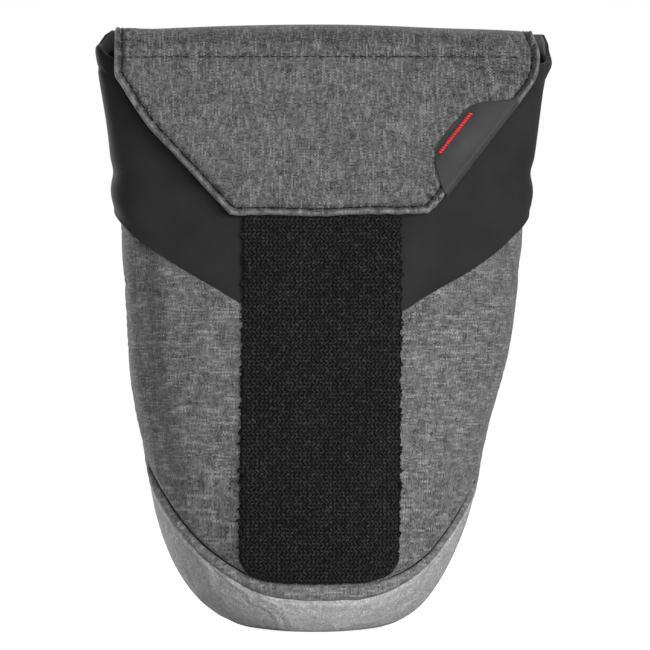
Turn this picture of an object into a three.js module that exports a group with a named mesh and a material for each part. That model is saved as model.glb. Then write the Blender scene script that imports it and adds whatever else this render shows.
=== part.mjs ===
// A tapered, padded camera pouch with a stretch collar and a hook-and-loop flap.
// Millimetres. +Z is up, the flap's front faces -Y, +X is the wearer's left.
// The origin is the middle of the flat underside.

import * as THREE from 'three';

// Clearance between neighbouring pieces, and the wider one of a flat piece on a curved
// or faceted face.
const gap = 0.3;
const seatGap = 0.39;

// Where the front and sides lie at the floor, the boot, the waist, the shoulder, the
// collar and the rim. The back is straight up to the shoulder.
const floorHalfWidth = 44.7;
const floorFront = -47;
const bootHeight = 50;
const bootHalfWidth = 52.8;
const bootFront = -40.3;
const waistHeight = 86;
const waistHalfWidth = 60;
const waistFront = -30.7;
const shoulderHeight = 120;
const shoulderHalfWidth = 63.8;
const shoulderFront = -21.6;
const collarHeight = 150;
const collarHalfWidth = 67.2;
const collarFront = -13.5;
const rimLevel = 182;
const rimHalfWidth = 71.6;
const rimFront = -4.9;
const bodyBack = 39;
const collarBack = 34.5;
const rimBack = 29;

// Outline of the body at those heights, with how square the front and back halves of
// the section are (2 is an ellipse).
const outline = [
  {
    height: 0, halfWidth: floorHalfWidth, front: floorFront, back: bodyBack,
    frontSquare: 2.1, backSquare: 3.6,
  },
  {
    height: bootHeight, halfWidth: bootHalfWidth, front: bootFront, back: bodyBack,
    frontSquare: 2.2, backSquare: 4.4,
  },
  {
    height: waistHeight, halfWidth: waistHalfWidth, front: waistFront, back: bodyBack,
    frontSquare: 2.3, backSquare: 4.6,
  },
  {
    height: shoulderHeight, halfWidth: shoulderHalfWidth, front: shoulderFront, back: bodyBack,
    frontSquare: 2.5, backSquare: 4.2,
  },
  {
    height: collarHeight, halfWidth: collarHalfWidth, front: collarFront, back: collarBack,
    frontSquare: 2.8, backSquare: 3.4,
  },
  {
    height: rimLevel, halfWidth: rimHalfWidth, front: rimFront, back: rimBack,
    frontSquare: 3, backSquare: 3,
  },
];

// The bottom edge's rounding: its height, and how far it draws in on each side.
const roundHeight = 50;
const roundSide = 27;
const roundFront = 18;
const roundBack = 10;

// Padded wall, from the outside in.
const shellThickness = 1.2;
const foamThickness = 4;
const boardThickness = 1.5;
const liningThickness = 1;

// Back panel's width, and the padded wall's top edge, which is lowest in front.
const backPanelWidth = 96;
const wallTopFront = 88;
const wallTopSlope = 0.52;
const wallTopBack = 132;
const wallTopReferenceHeight = 110;
const wallTopSharpness = 6;

// Boot: the seam is lowest in front, rises in a slanting plane, and levels out behind.
const seamSideHeight = 51;
const seamSlant = 38;
const seamBackRise = 14;
const seamSquare = 0.5;
const rollWidth = 4;
const rollProud = 1;
const baseBoardMargin = 3;

// Collar, its hem and the binding that closes the padding's top edge.
const collarThickness = 1.8;
const collarProud = 0.8;
const hemHeight = 6.5;
const hemThickness = 3;
const earDrop = 2;
const earSharpness = 8;
const bindingHeight = 2;

// Loop strip down the front, and the hook patch in the flap.
const stripWidth = 50;
const stripThickness = 1;
const stripHeadDrop = 5;
const hookThickness = 1;
const hookHeight = 38;
const hookBottomMargin = 5;

// Flap: trapezoid below, full width above, rolled over the front edge at the fold.
const flapTop = 191.3;
const flapCrown = 2.3;
const flapFoldDrop = 10.3;
const flapBottomHeight = 131;
const flapCornerDrop = 5.2;
const flapHalfWidth = 67.3;
const flapBottomHalfWidth = 31.2;
const flapSideDrop = 3;
const flapSideCurve = 2.5;
const flapFabricThickness = 1;
const flapBoardThickness = 1;
const flapLiningThickness = 0.6;
const flapBoardMargin = 4;
const topLiningThickness = 0.8;
const anchorHeight = 9;
const anchorThickness = 0.8;
const anchorOverlap = 2;

// Corner tab on the flap's right lower edge, with its bar tack.
const tabEdgeOffset = 8;
const tabEdgeLength = 36.8;
const tabTaperLow = 6.5;
const tabTaperHigh = 10.1;
const tabWidth = 10.5;
const tabThickness = 0.8;
const tackOffset = 8.9;
const tackLength = 15.8;
const tackWidth = 1.4;
const tackMargin = 0.6;
const tackThickness = 0.5;

// Belt loops on the back.
const patchHalfWidth = 38;
const patchBottom = 66.5;
const patchTop = 122;
const patchThickness = 1;
const loopWidth = 25;
const loopSpacing = 40;
const loopBottom = 68;
const loopTop = 121;
const loopThickness = 1.8;
const loopStandOff = 7;
const loopSewnEnd = 5.5;
const loopBend = 5.5;
const loopTackHeight = 3;
const loopTackThickness = 0.8;
const loopTackMargin = 1.2;

// How finely the curved pieces are divided.
const ringColumns = 40;
const girthSteps = 24;
const wallRows = 7;
const backRows = 4;
const bootRows = 7;
const collarRows = 6;
const stripColumns = 6;
const stripRows = 8;
const flapColumns = 10;
const flapRows = 3;
const topFlatRows = 4;
const bendSteps = 4;
const loopBendSteps = 4;
const patchColumns = 8;

// Finishes.
const finishes = {
  heather: { color: 0x646464, roughness: 0.95 },
  paleHeather: { color: 0x8f8f8f, roughness: 0.95 },
  stretch: { color: 0x202021, roughness: 0.9 },
  loopTape: { color: 0x161617, roughness: 1 },
  hookTape: { color: 0x1b1b1c, roughness: 0.8 },
  foam: { color: 0x3a3b3d, roughness: 1 },
  board: { color: 0x1c1c1e, roughness: 0.6 },
  lining: { color: 0x4a4c50, roughness: 0.9 },
  coated: { color: 0x48484a, roughness: 0.6 },
  webbing: { color: 0x19191a, roughness: 0.9 },
  thread: { color: 0xe03a40, roughness: 0.7 },
  blackThread: { color: 0x0e0e0f, roughness: 0.7 },
};

const pouch = new THREE.Group();

function addPiece(name, geometry, finish) {
  const material = new THREE.MeshStandardMaterial({ metalness: 0, ...finishes[finish] });
  const mesh = new THREE.Mesh(geometry, material);
  mesh.name = name;
  pouch.add(mesh);
  return mesh;
}

// One outline value at a height: a smooth curve through the rows of the table, which
// stays straight where two rows hold the same value.
function outlineValue(key, height) {
  const last = outline.length - 2;
  const found = outline.findIndex((row) => row.height > height) - 1;
  const i = found < 0 ? (height < outline[0].height ? 0 : last) : found;
  const slope = (k) => {
    const low = outline[Math.max(k - 1, 0)];
    const high = outline[Math.min(k + 1, last + 1)];
    const turns = (outline[k][key] - low[key]) * (high[key] - outline[k][key]) <= 0;
    if (turns && low !== outline[k] && high !== outline[k]) return 0;
    return (high[key] - low[key]) / (high.height - low.height);
  };
  const low = outline[i];
  const high = outline[i + 1];
  const span = high.height - low.height;
  const s = (height - low.height) / span;
  if (s < 0) return low[key] + slope(i) * (height - low.height);
  if (s > 1) return high[key] + slope(i + 1) * (height - high.height);
  const rise = high[key] - low[key];
  const a = slope(i) * span - rise;
  const b = rise - slope(i + 1) * span;
  return low[key] + rise * s + s * (1 - s) * (a * (1 - s) + b * s);
}

// Wall coordinates: t is the angle round the section from the front's middle towards +X,
// in radians, and v climbs the wall. Above the rounding v is the height. In the rounding
// it is spread evenly round the arc, and from -1 to 0 it crosses the flat underside.
function heightAt(v) {
  if (v >= roundHeight) return v;
  return v <= 0 ? 0 : roundHeight * (1 - Math.cos((v / roundHeight) * (Math.PI / 2)));
}

function wallCoordinate(height) {
  if (height >= roundHeight) return height;
  return (Math.acos(1 - height / roundHeight) / (Math.PI / 2)) * roundHeight;
}

function sectionAt(v) {
  const height = heightAt(v);
  const turn = Math.min(Math.max(v / roundHeight, 0), 1) * (Math.PI / 2);
  const draw = 1 - Math.sin(turn);
  const front = outlineValue('front', height) + roundFront * draw;
  const back = outlineValue('back', height) - roundBack * draw;
  const shrink = v < 0 ? 1 + v : 1;
  return {
    height,
    halfWidth: (outlineValue('halfWidth', height) - roundSide * draw) * shrink,
    middle: (front + back) / 2,
    halfDepth: ((back - front) / 2) * shrink,
    frontSquare: outlineValue('frontSquare', height),
    backSquare: outlineValue('backSquare', height),
  };
}

function signedPower(value, power) {
  return Math.sign(value) * Math.abs(value) ** power;
}

function wallBase(t, v) {
  const section = sectionAt(v);
  const power = 2 / (Math.cos(t) >= 0 ? section.frontSquare : section.backSquare);
  return new THREE.Vector3(
    section.halfWidth * signedPower(Math.sin(t), power),
    section.middle - section.halfDepth * signedPower(Math.cos(t), power),
    section.height,
  );
}

// The direction that leads straight out of the wall.
function wallNormal(t, v) {
  if (v < 0) return new THREE.Vector3(0, 0, -1);
  const section = sectionAt(v);
  const square = Math.cos(t) >= 0 ? section.frontSquare : section.backSquare;
  const power = 2 - 2 / square;
  const across = new THREE.Vector3(
    signedPower(Math.cos(t), power) / section.halfDepth,
    signedPower(Math.sin(t), power) / section.halfWidth,
    0,
  ).normalize();
  const step = 0.05;
  const climb = wallBase(t, v + step).sub(wallBase(t, Math.max(v - step, 0)));
  return across.cross(climb).normalize();
}

// A point on the wall, moved out of it by a distance. Zero is the shell's outer face.
function wallPoint(t, v, out) {
  return wallBase(t, v).addScaledVector(wallNormal(t, v), out);
}

// Half the section's front face at a height and a distance x from the middle.
function frontFace(x, height) {
  const section = sectionAt(wallCoordinate(height));
  const share = Math.min(Math.abs(x) / section.halfWidth, 1);
  const depth = (1 - share ** section.frontSquare) ** (1 / section.frontSquare);
  return section.middle - section.halfDepth * depth;
}

function backFace(x, height) {
  const section = sectionAt(wallCoordinate(height));
  const share = Math.min(Math.abs(x) / section.halfWidth, 1);
  const depth = (1 - share ** section.backSquare) ** (1 / section.backSquare);
  return section.middle + section.halfDepth * depth;
}

// A closed sheet with an outer and an inner face. place(s, r, inner) gives each point,
// s from 0 to 1 across and r from 0 to 1 up. A ring closes on itself across, and a
// sheet with a pole starts at one point.
function sheet(columns, rows, place, { ring = false, pole = false } = {}) {
  const positions = [];
  const index = [];
  const perRow = ring ? columns : columns + 1;
  const numbers = [false, true].map((inner) => {
    const grid = [];
    for (let j = 0; j <= rows; j += 1) {
      const line = [];
      for (let i = 0; i < perRow; i += 1) {
        if (pole && j === 0 && i > 0) {
          line.push(line[0]);
        } else {
          line.push(positions.length / 3);
          positions.push(...place(i / columns, j / rows, inner).toArray());
        }
      }
      if (ring) line.push(line[0]);
      grid.push(line);
    }
    return grid;
  });
  const triangle = (a, b, c) => {
    if (a !== b && b !== c && c !== a) index.push(a, b, c);
  };
  const quad = (a, b, c, d) => {
    triangle(a, b, c);
    triangle(a, c, d);
  };
  const [outer, inner] = numbers;
  for (let j = 0; j < rows; j += 1) {
    for (let i = 0; i < columns; i += 1) {
      quad(outer[j][i], outer[j][i + 1], outer[j + 1][i + 1], outer[j + 1][i]);
      quad(inner[j][i], inner[j + 1][i], inner[j + 1][i + 1], inner[j][i + 1]);
    }
    if (!ring) {
      quad(outer[j][0], outer[j + 1][0], inner[j + 1][0], inner[j][0]);
      quad(outer[j][columns], inner[j][columns], inner[j + 1][columns], outer[j + 1][columns]);
    }
  }
  for (let i = 0; i < columns; i += 1) {
    if (!pole) quad(outer[0][i], inner[0][i], inner[0][i + 1], outer[0][i + 1]);
    quad(outer[rows][i], outer[rows][i + 1], inner[rows][i + 1], inner[rows][i]);
  }
  const geometry = new THREE.BufferGeometry();
  geometry.setAttribute('position', new THREE.Float32BufferAttribute(positions, 3));
  geometry.setIndex(index);
  geometry.computeVertexNormals();
  return geometry;
}

function mix(a, b, share) {
  return a + (b - a) * share;
}

// A layer of the wall between two angles and two edges, each edge a height at every angle.
function wallLayer({ from, to, bottom, top, outer, inner, columns, rows }) {
  const place = (s, r, isInner) => {
    const t = mix(from, to, s);
    const v = mix(wallCoordinate(bottom(t)), wallCoordinate(top(t)), r);
    return wallPoint(t, v, isInner ? inner : outer);
  };
  return sheet(columns, rows, place, { ring: to - from > 2 * Math.PI - 0.01 });
}

// The lengths along the section from the front's middle to angle t.
function girthTo(t) {
  const v = wallCoordinate(wallTopReferenceHeight);
  let length = 0;
  let last = wallBase(0, v);
  for (let k = 1; k <= girthSteps; k += 1) {
    const next = wallBase((Math.abs(t) * k) / girthSteps, v);
    length += next.distanceTo(last);
    last = next;
  }
  return length;
}

function foldAngle(t) {
  const turn = 2 * Math.PI;
  return Math.abs(t - turn * Math.round(t / turn));
}

// The padding's top edge climbs evenly from the front and levels out on the back.
function wallTop(t) {
  const climb = wallTopSlope * girthTo(foldAngle(t));
  const most = wallTopBack - wallTopFront;
  const levelling = 1 + (climb / most) ** wallTopSharpness;
  return wallTopFront + climb / levelling ** (1 / wallTopSharpness);
}

function seamHeight(t) {
  const square = Math.cos(t) >= 0 ? 1 : seamSquare;
  const lean = signedPower(Math.cos(t), square) * seamSlant;
  if (lean >= 0) return seamSideHeight - lean;
  return seamSideHeight + seamBackRise * (1 - Math.exp(lean / seamBackRise));
}

// The flap's top is slightly crowned, and the collar's rim follows it. The flap folds
// down in front below its top.
const flapFoldHeight = flapTop - flapFoldDrop;
const topStack = flapFabricThickness + gap + topLiningThickness;

function crownHeight(x) {
  return flapTop - flapCrown * (x / flapHalfWidth) ** 2;
}

function rimHeight(t) {
  const x = wallBase(t, flapFoldHeight).x;
  const ear = earDrop * Math.abs(Math.sin(t)) ** earSharpness;
  return crownHeight(x) - topStack - 2 * gap - ear;
}

// The angle of the seams between the front and back panels, on a whole ring column.
const ringStep = (2 * Math.PI) / ringColumns;
const seamAngleWanted = Math.PI - Math.asin(
  (backPanelWidth / 2 / sectionAt(wallTopReferenceHeight).halfWidth)
    ** (sectionAt(wallTopReferenceHeight).backSquare / 2),
);
const frontColumns = 2 * Math.round(seamAngleWanted / ringStep);
const backColumns = ringColumns - frontColumns;
const sideAngle = (frontColumns / 2) * ringStep;
const sideGapAngle = gap / (2 * sectionAt(wallTopReferenceHeight).halfDepth);

const frontSpan = { from: -sideAngle + sideGapAngle, to: sideAngle - sideGapAngle };
const backSpan = { from: sideAngle + sideGapAngle, to: 2 * Math.PI - sideAngle - sideGapAngle };
const fullSpan = { from: 0, to: 2 * Math.PI };

const shellInner = -shellThickness;
const frontFoamOuter = shellInner - gap;
const frontFoamInner = frontFoamOuter - foamThickness;
const backBoardOuter = shellInner - gap;
const backBoardInner = backBoardOuter - boardThickness;
const backFoamOuter = backBoardInner - gap;
const backFoamInner = frontFoamInner;
const liningOuter = frontFoamInner - gap;
const liningInner = liningOuter - liningThickness;

// The padded front and sides.
function makeFront() {
  const edges = {
    ...frontSpan,
    bottom: (t) => seamHeight(t) + gap / 2,
    top: wallTop,
    columns: frontColumns,
    rows: wallRows,
  };
  addPiece('front_shell', wallLayer({ ...edges, outer: 0, inner: shellInner }), 'heather');
  const foam = wallLayer({ ...edges, outer: frontFoamOuter, inner: frontFoamInner });
  addPiece('front_foam', foam, 'foam');
  const lining = wallLayer({ ...edges, outer: liningOuter, inner: liningInner });
  addPiece('front_lining', lining, 'lining');
}

// The stiffened back panel.
function makeBack() {
  const edges = {
    ...backSpan,
    bottom: (t) => seamHeight(t) + gap / 2,
    top: wallTop,
    columns: backColumns,
    rows: backRows,
  };
  addPiece('back_shell', wallLayer({ ...edges, outer: 0, inner: shellInner }), 'heather');
  const board = wallLayer({ ...edges, outer: backBoardOuter, inner: backBoardInner });
  addPiece('back_board', board, 'board');
  const foam = wallLayer({ ...edges, outer: backFoamOuter, inner: backFoamInner });
  addPiece('back_foam', foam, 'foam');
  const lining = wallLayer({ ...edges, outer: liningOuter, inner: liningInner });
  addPiece('back_lining', lining, 'lining');
}

// A cup layer: the flat underside from its middle, then the rounding and wall to the seam.
// Inside it may be recessed for the floor board, whose edge is a step on the underside.
const boardReach = 1 - baseBoardMargin / sectionAt(0).halfWidth;
const recessReach = boardReach + (2 * gap) / sectionAt(0).halfWidth;
const underStations = [-1, recessReach - 1, recessReach + gap / sectionAt(0).halfWidth - 1];

function cupTop(t) {
  return seamHeight(t) - rollWidth - gap * 1.5;
}

function cupLayer(outer, inner, { toSeam = false, recess = 0 } = {}) {
  const rows = underStations.length + bootRows + (toSeam ? 1 : 0);
  const place = (s, r, isInner) => {
    const t = s * 2 * Math.PI;
    const row = Math.round(r * rows);
    const sunk = isInner && row < 2 ? recess : 0;
    const out = isInner ? inner + sunk : outer;
    if (row < underStations.length) return wallPoint(t, underStations[row], out);
    const step = row - underStations.length;
    if (step > bootRows) return wallPoint(t, wallCoordinate(seamHeight(t) - gap / 2), out);
    return wallPoint(t, wallCoordinate(cupTop(t)) * (step / bootRows), out);
  };
  return sheet(ringColumns, rows, place, { ring: true, pole: true });
}

// The boot: outer cup, foam, floor board and lining.
function makeBoot() {
  addPiece('base_cup', cupLayer(0, shellInner), 'paleHeather');
  const foam = { toSeam: true, recess: boardThickness + gap };
  addPiece('base_foam', cupLayer(frontFoamOuter, frontFoamInner, foam), 'foam');
  addPiece('base_lining', cupLayer(liningOuter, liningInner, { toSeam: true }), 'lining');

  const place = (s, r, isInner) => {
    const edge = wallBase(s * 2 * Math.PI, 0);
    const middle = new THREE.Vector3(0, sectionAt(0).middle, 0);
    const point = middle.clone().lerp(edge, r * boardReach);
    point.z = -frontFoamInner - (isInner ? 0 : boardThickness);
    return point;
  };
  const board = sheet(ringColumns / 2, 1, place, { ring: true, pole: true });
  addPiece('base_board', board, 'board');

  const roll = wallLayer({
    ...fullSpan,
    bottom: (t) => seamHeight(t) - rollWidth - gap / 2,
    top: (t) => seamHeight(t) - gap / 2,
    outer: rollProud,
    inner: shellInner,
    columns: ringColumns,
    rows: 1,
  });
  addPiece('seam_roll', roll, 'heather');
}

// The stretch collar, the unpadded upper back, the rim and the padding's binding.
function makeCollar() {
  const collarInner = collarProud - collarThickness;
  const hemBottom = (t) => rimHeight(t) - hemHeight;
  const above = {
    bottom: (t) => wallTop(t) + gap,
    top: (t) => hemBottom(t) - gap,
    outer: collarProud,
    rows: collarRows,
  };
  const collar = wallLayer({
    ...above, ...frontSpan, inner: collarInner, columns: frontColumns,
  });
  addPiece('collar_sleeve', collar, 'stretch');
  const upper = wallLayer({ ...above, ...backSpan, inner: collarInner, columns: backColumns });
  addPiece('back_upper', upper, 'heather');

  const rim = wallLayer({
    ...fullSpan,
    bottom: hemBottom,
    top: rimHeight,
    outer: collarProud,
    inner: collarProud - hemThickness,
    columns: ringColumns,
    rows: 1,
  });
  addPiece('rim_hem', rim, 'stretch');

  const binding = wallLayer({
    ...fullSpan,
    bottom: (t) => wallTop(t) + gap,
    top: (t) => wallTop(t) + gap + bindingHeight,
    outer: collarInner - gap,
    inner: liningInner,
    columns: ringColumns,
    rows: 1,
  });
  addPiece('rim_binding', binding, 'blackThread');
}

// The angle on the wall at a distance x from the front's middle.
function frontAngle(x, height) {
  const section = sectionAt(wallCoordinate(height));
  return Math.asin(Math.min(Math.abs(x) / section.halfWidth, 1) ** (section.frontSquare / 2));
}

// The front's loop strip follows the wall. It starts in the boot's seam and crosses the
// padding's top edge onto the collar.
const stripInnerLow = seatGap;
const stripInnerHigh = collarProud + seatGap;
const stripOuter = stripInnerHigh + stripThickness;

function stripPiece(bottom, top, inner, rows) {
  const place = (s, r, isInner) => {
    const x = mix(-stripWidth / 2, stripWidth / 2, s);
    const height = mix(bottom(x), top(x), r);
    return new THREE.Vector3(x, frontFace(x, height) - (isInner ? inner : stripOuter), height);
  };
  return sheet(stripColumns, rows, place);
}

function makeStrip() {
  const foot = (x) => seamHeight(frontAngle(x, seamSideHeight - seamSlant)) + gap;
  const joint = (x) => wallTop(frontAngle(x, wallTopReferenceHeight));
  const low = stripPiece(foot, joint, stripInnerLow, stripRows);
  addPiece('loop_strip_lower', low, 'loopTape');
  const head = () => flapFoldHeight - stripHeadDrop;
  const high = stripPiece((x) => joint(x) + gap, head, stripInnerHigh, stripRows);
  addPiece('loop_strip_upper', high, 'loopTape');
}

// The flap hangs in front of the strip, flatter than the wall, so each of its layers has
// a distance from the wall's middle line.
const hookInner = stripOuter + gap;
const hookOuter = hookInner + hookThickness;
const flapLiningInner = hookOuter + gap;
const flapLiningOuter = flapLiningInner + flapLiningThickness;
const flapBoardInner = flapLiningOuter + gap;
const flapBoardOuter = flapBoardInner + flapBoardThickness;
const flapInner = flapBoardOuter + gap;
const flapOuter = flapInner + flapFabricThickness;

function flapFace(x, height) {
  return frontFace(0, height) + flapSideDrop * (Math.abs(x) / flapHalfWidth) ** flapSideCurve;
}

const flapCornerHeight = flapFoldHeight - flapCornerDrop;

function flapEdge(height) {
  const share = (height - flapBottomHeight) / (flapCornerHeight - flapBottomHeight);
  return mix(flapBottomHalfWidth, flapHalfWidth, Math.min(share, 1));
}

function flapLayer({ heights, halfWidth, outer, inner }) {
  const place = (s, r, isInner) => {
    const height = heights[Math.round(r * (heights.length - 1))];
    const x = mix(-1, 1, s) * halfWidth(height);
    return new THREE.Vector3(x, flapFace(x, height) - (isInner ? inner : outer), height);
  };
  return sheet(flapColumns, heights.length - 1, place);
}

function evenHeights(bottom, top, rows) {
  return Array.from({ length: rows + 1 }, (_, k) => mix(bottom, top, k / rows));
}

function makeFlap() {
  const rising = evenHeights(flapBottomHeight, flapCornerHeight, flapRows);
  const whole = { heights: [...rising, flapFoldHeight - gap], halfWidth: flapEdge };
  const outer = flapLayer({ ...whole, outer: flapOuter, inner: flapInner });
  addPiece('flap_outer', outer, 'heather');
  const lining = flapLayer({ ...whole, outer: flapLiningOuter, inner: flapLiningInner });
  addPiece('flap_lining', lining, 'stretch');
  const board = flapLayer({
    heights: evenHeights(flapBottomHeight + flapBoardMargin, flapCornerHeight, flapRows),
    halfWidth: (height) => flapEdge(height) - flapBoardMargin,
    outer: flapBoardOuter,
    inner: flapBoardInner,
  });
  addPiece('flap_board', board, 'board');
  const hookBottom = flapBottomHeight + hookBottomMargin;
  const hook = flapLayer({
    heights: evenHeights(hookBottom, hookBottom + hookHeight, 2),
    halfWidth: () => stripWidth / 2,
    outer: hookOuter,
    inner: hookInner,
  });
  addPiece('hook_patch', hook, 'hookTape');
}

// The flap's soft top: flat over the mouth, then rolled down to the fold.
const anchorInner = collarProud + gap;
const anchorOuter = anchorInner + anchorThickness;

function topLayer(outerDepth, innerDepth) {
  const rows = topFlatRows + bendSteps;
  const place = (s, r, isInner) => {
    const x = mix(flapHalfWidth, -flapHalfWidth, s);
    const depth = isInner ? innerDepth : outerDepth;
    const row = Math.round(r * rows);
    const high = crownHeight(x);
    const radius = high - flapFoldHeight;
    const front = flapFace(x, flapFoldHeight) - flapOuter;
    const back = backFace(x, flapFoldHeight) + anchorOuter;
    if (row <= topFlatRows) {
      const y = mix(front + radius, back, 1 - row / topFlatRows);
      return new THREE.Vector3(x, y, high - depth);
    }
    const turn = ((row - topFlatRows) / bendSteps) * (Math.PI / 2);
    const reach = radius - depth;
    return new THREE.Vector3(
      x,
      front + radius - reach * Math.sin(turn),
      flapFoldHeight + reach * Math.cos(turn),
    );
  };
  return sheet(flapColumns, rows, place);
}

function makeFlapTop() {
  addPiece('flap_top_outer', topLayer(0, flapFabricThickness), 'heather');
  addPiece('flap_top_lining', topLayer(flapFabricThickness + gap, topStack), 'stretch');

  const top = (x) => crownHeight(x) - topStack - 2 * gap;
  const anchorHalfWidth = backPanelWidth / 2 + anchorOverlap;
  const place = (s, r, isInner) => {
    const x = mix(anchorHalfWidth, -anchorHalfWidth, s);
    const height = mix(top(x) - anchorHeight, top(x), r);
    const out = isInner ? anchorInner : anchorOuter;
    return new THREE.Vector3(x, backFace(x, height) + out, height);
  };
  addPiece('flap_anchor', sheet(flapColumns, 2, place), 'heather');
}

// The corner tab lies on the flap along its right diagonal edge, and tapers inwards.
function makeTab() {
  const foot = new THREE.Vector2(flapBottomHalfWidth, flapBottomHeight);
  const head = new THREE.Vector2(flapHalfWidth, flapCornerHeight);
  const along = head.clone().sub(foot).normalize();
  const inward = new THREE.Vector2(-along.y, along.x);
  const onFlap = (a, b, out) => {
    const p = foot.clone().addScaledVector(along, a).addScaledVector(inward, b);
    return new THREE.Vector3(p.x, flapFace(p.x, p.y) - flapOuter - out, p.y);
  };
  const tabInner = seatGap;
  const tabOuter = tabInner + tabThickness;
  const tab = (s, r, isInner) => {
    const share = 1 - s;
    const low = tabEdgeOffset + tabTaperLow * share;
    const high = tabEdgeOffset + tabEdgeLength - tabTaperHigh * share;
    return onFlap(mix(low, high, r), tabWidth * share, isInner ? tabInner : tabOuter);
  };
  addPiece('corner_tab', sheet(2, 3, tab), 'coated');
  const tackInner = tabOuter + seatGap;
  const tack = (s, r, isInner) => {
    const a = tabEdgeOffset + tackOffset + tackLength * r;
    const b = tabWidth - tackMargin - tackWidth * s;
    return onFlap(a, b, isInner ? tackInner : tackInner + tackThickness);
  };
  addPiece('tab_bar_tack', sheet(1, 2, tack), 'thread');
}

// The back's patch, and two webbing loops that stand off it, tacked top and bottom.
function makeBeltLoops() {
  const patchInner = gap;
  const place = (s, r, isInner) => {
    const x = mix(patchHalfWidth, -patchHalfWidth, s);
    const height = mix(patchBottom, patchTop, r);
    const out = patchInner + (isInner ? 0 : patchThickness);
    return new THREE.Vector3(x, backFace(x, height) + out, height);
  };
  addPiece('back_patch', sheet(patchColumns, 2, place), 'coated');

  const seat = backFace(0, (patchBottom + patchTop) / 2) + patchInner + patchThickness + gap;
  const path = (r) => {
    const height = mix(loopBottom, loopTop, r);
    const fromEnd = Math.min(height - loopBottom, loopTop - height);
    const share = Math.min(Math.max((fromEnd - loopSewnEnd) / loopBend, 0), 1);
    const ease = share * share * (3 - 2 * share);
    return new THREE.Vector2(seat + loopStandOff * ease, height);
  };
  const bendRows = evenHeights(loopSewnEnd, loopSewnEnd + loopBend, loopBendSteps);
  const length = loopTop - loopBottom;
  const slopeStep = loopBend / 11;
  const stations = [0, ...bendRows, ...bendRows.map((d) => length - d).reverse(), length];
  const profile = (k, inner) => {
    const here = path(stations[k] / length);
    const before = path(Math.max(stations[k] - slopeStep, 0) / length);
    const after = path(Math.min(stations[k] + slopeStep, length) / length);
    const run = after.sub(before).normalize();
    const out = inner ? 0 : loopThickness;
    return new THREE.Vector2(here.x + run.y * out, here.y - run.x * out);
  };
  for (const [side, name] of [[-1, 'left'], [1, 'right']]) {
    const middle = (side * loopSpacing) / 2;
    const strap = (s, r, isInner) => {
      const p = profile(Math.round(r * (stations.length - 1)), isInner);
      return new THREE.Vector3(middle + mix(loopWidth / 2, -loopWidth / 2, s), p.x, p.y);
    };
    addPiece(`belt_loop_${name}`, sheet(1, stations.length - 1, strap), 'webbing');
    const ends = [[loopBottom + loopTackMargin, 'lower'],
      [loopTop - loopTackMargin - loopTackHeight, 'upper']];
    for (const [low, end] of ends) {
      const half = loopWidth / 2 - loopTackMargin;
      const tack = (s, r, isInner) => new THREE.Vector3(
        middle + mix(half, -half, s),
        seat + loopThickness + gap + (isInner ? 0 : loopTackThickness),
        low + loopTackHeight * r,
      );
      addPiece(`loop_tack_${end}_${name}`, sheet(1, 1, tack), 'blackThread');
    }
  }
}

makeFront();
makeBack();
makeBoot();
makeCollar();
makeStrip();
makeFlap();
makeFlapTop();
makeTab();
makeBeltLoops();

export default pouch;
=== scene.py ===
"""The looks of a tapered, padded camera pouch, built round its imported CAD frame.

Metres throughout, +Z up, the flap's front faces -Y. Every fabric panel is a grid that is
laid on the pouch's wall or on the flap, given its thickness, and dressed with a finish.
"""

import logging
import math
from dataclasses import dataclass
from enum import Enum
from functools import cached_property, partial
from typing import Callable, Sequence

import bmesh
import bpy
import numpy as np
from mathutils import Matrix, Vector


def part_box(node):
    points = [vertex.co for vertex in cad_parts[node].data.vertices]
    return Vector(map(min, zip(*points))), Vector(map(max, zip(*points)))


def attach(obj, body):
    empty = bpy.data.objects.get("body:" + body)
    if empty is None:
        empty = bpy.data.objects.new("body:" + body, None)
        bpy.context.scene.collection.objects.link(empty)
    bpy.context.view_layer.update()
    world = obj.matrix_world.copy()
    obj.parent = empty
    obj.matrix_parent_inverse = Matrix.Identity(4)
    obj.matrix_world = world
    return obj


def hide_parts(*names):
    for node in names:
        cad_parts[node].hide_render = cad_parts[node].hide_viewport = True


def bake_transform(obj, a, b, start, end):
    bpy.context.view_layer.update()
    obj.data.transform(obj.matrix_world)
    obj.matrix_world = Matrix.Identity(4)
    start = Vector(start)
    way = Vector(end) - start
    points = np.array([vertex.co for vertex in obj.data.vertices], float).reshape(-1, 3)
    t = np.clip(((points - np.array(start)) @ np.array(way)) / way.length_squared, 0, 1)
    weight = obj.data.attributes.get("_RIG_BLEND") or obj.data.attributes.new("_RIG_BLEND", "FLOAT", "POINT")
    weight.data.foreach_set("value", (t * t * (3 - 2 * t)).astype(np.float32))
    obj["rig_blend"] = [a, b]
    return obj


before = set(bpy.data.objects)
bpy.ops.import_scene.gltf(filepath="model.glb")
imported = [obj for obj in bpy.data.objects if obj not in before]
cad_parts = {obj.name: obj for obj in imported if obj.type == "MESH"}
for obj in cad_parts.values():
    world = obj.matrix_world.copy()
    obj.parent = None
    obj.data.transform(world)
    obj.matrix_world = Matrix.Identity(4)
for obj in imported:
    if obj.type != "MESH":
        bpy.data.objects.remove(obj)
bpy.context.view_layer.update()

MM = 0.001
TURN = 2 * math.pi
CLOTH_UV = "cloth"
# The attribute that carries a piece's painted shade and painted highlights, and where it is darker.
PAINTED_LIGHT_LAYER = "worn"

Array = np.ndarray
Placed = tuple[Array, Array]
# A place function takes s, across a panel, and r, up it, each from 0 to 1. It gives the
# points there and the places on the cloth, as two distances in metres.
Place = Callable[[Array, Array], Placed]
Share = Callable[[Array, Array], Array]
Pair = tuple[float, float]
Point = tuple[float, float, float]
Pairs = tuple[Pair, ...]

log = logging.getLogger("pouch")


class Body(Enum):
    """The moving bodies of the pouch."""

    SHELL = "shell"
    RIM = "rim"
    FLAP_TOP = "flap_top"
    FLAP = "flap"


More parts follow.
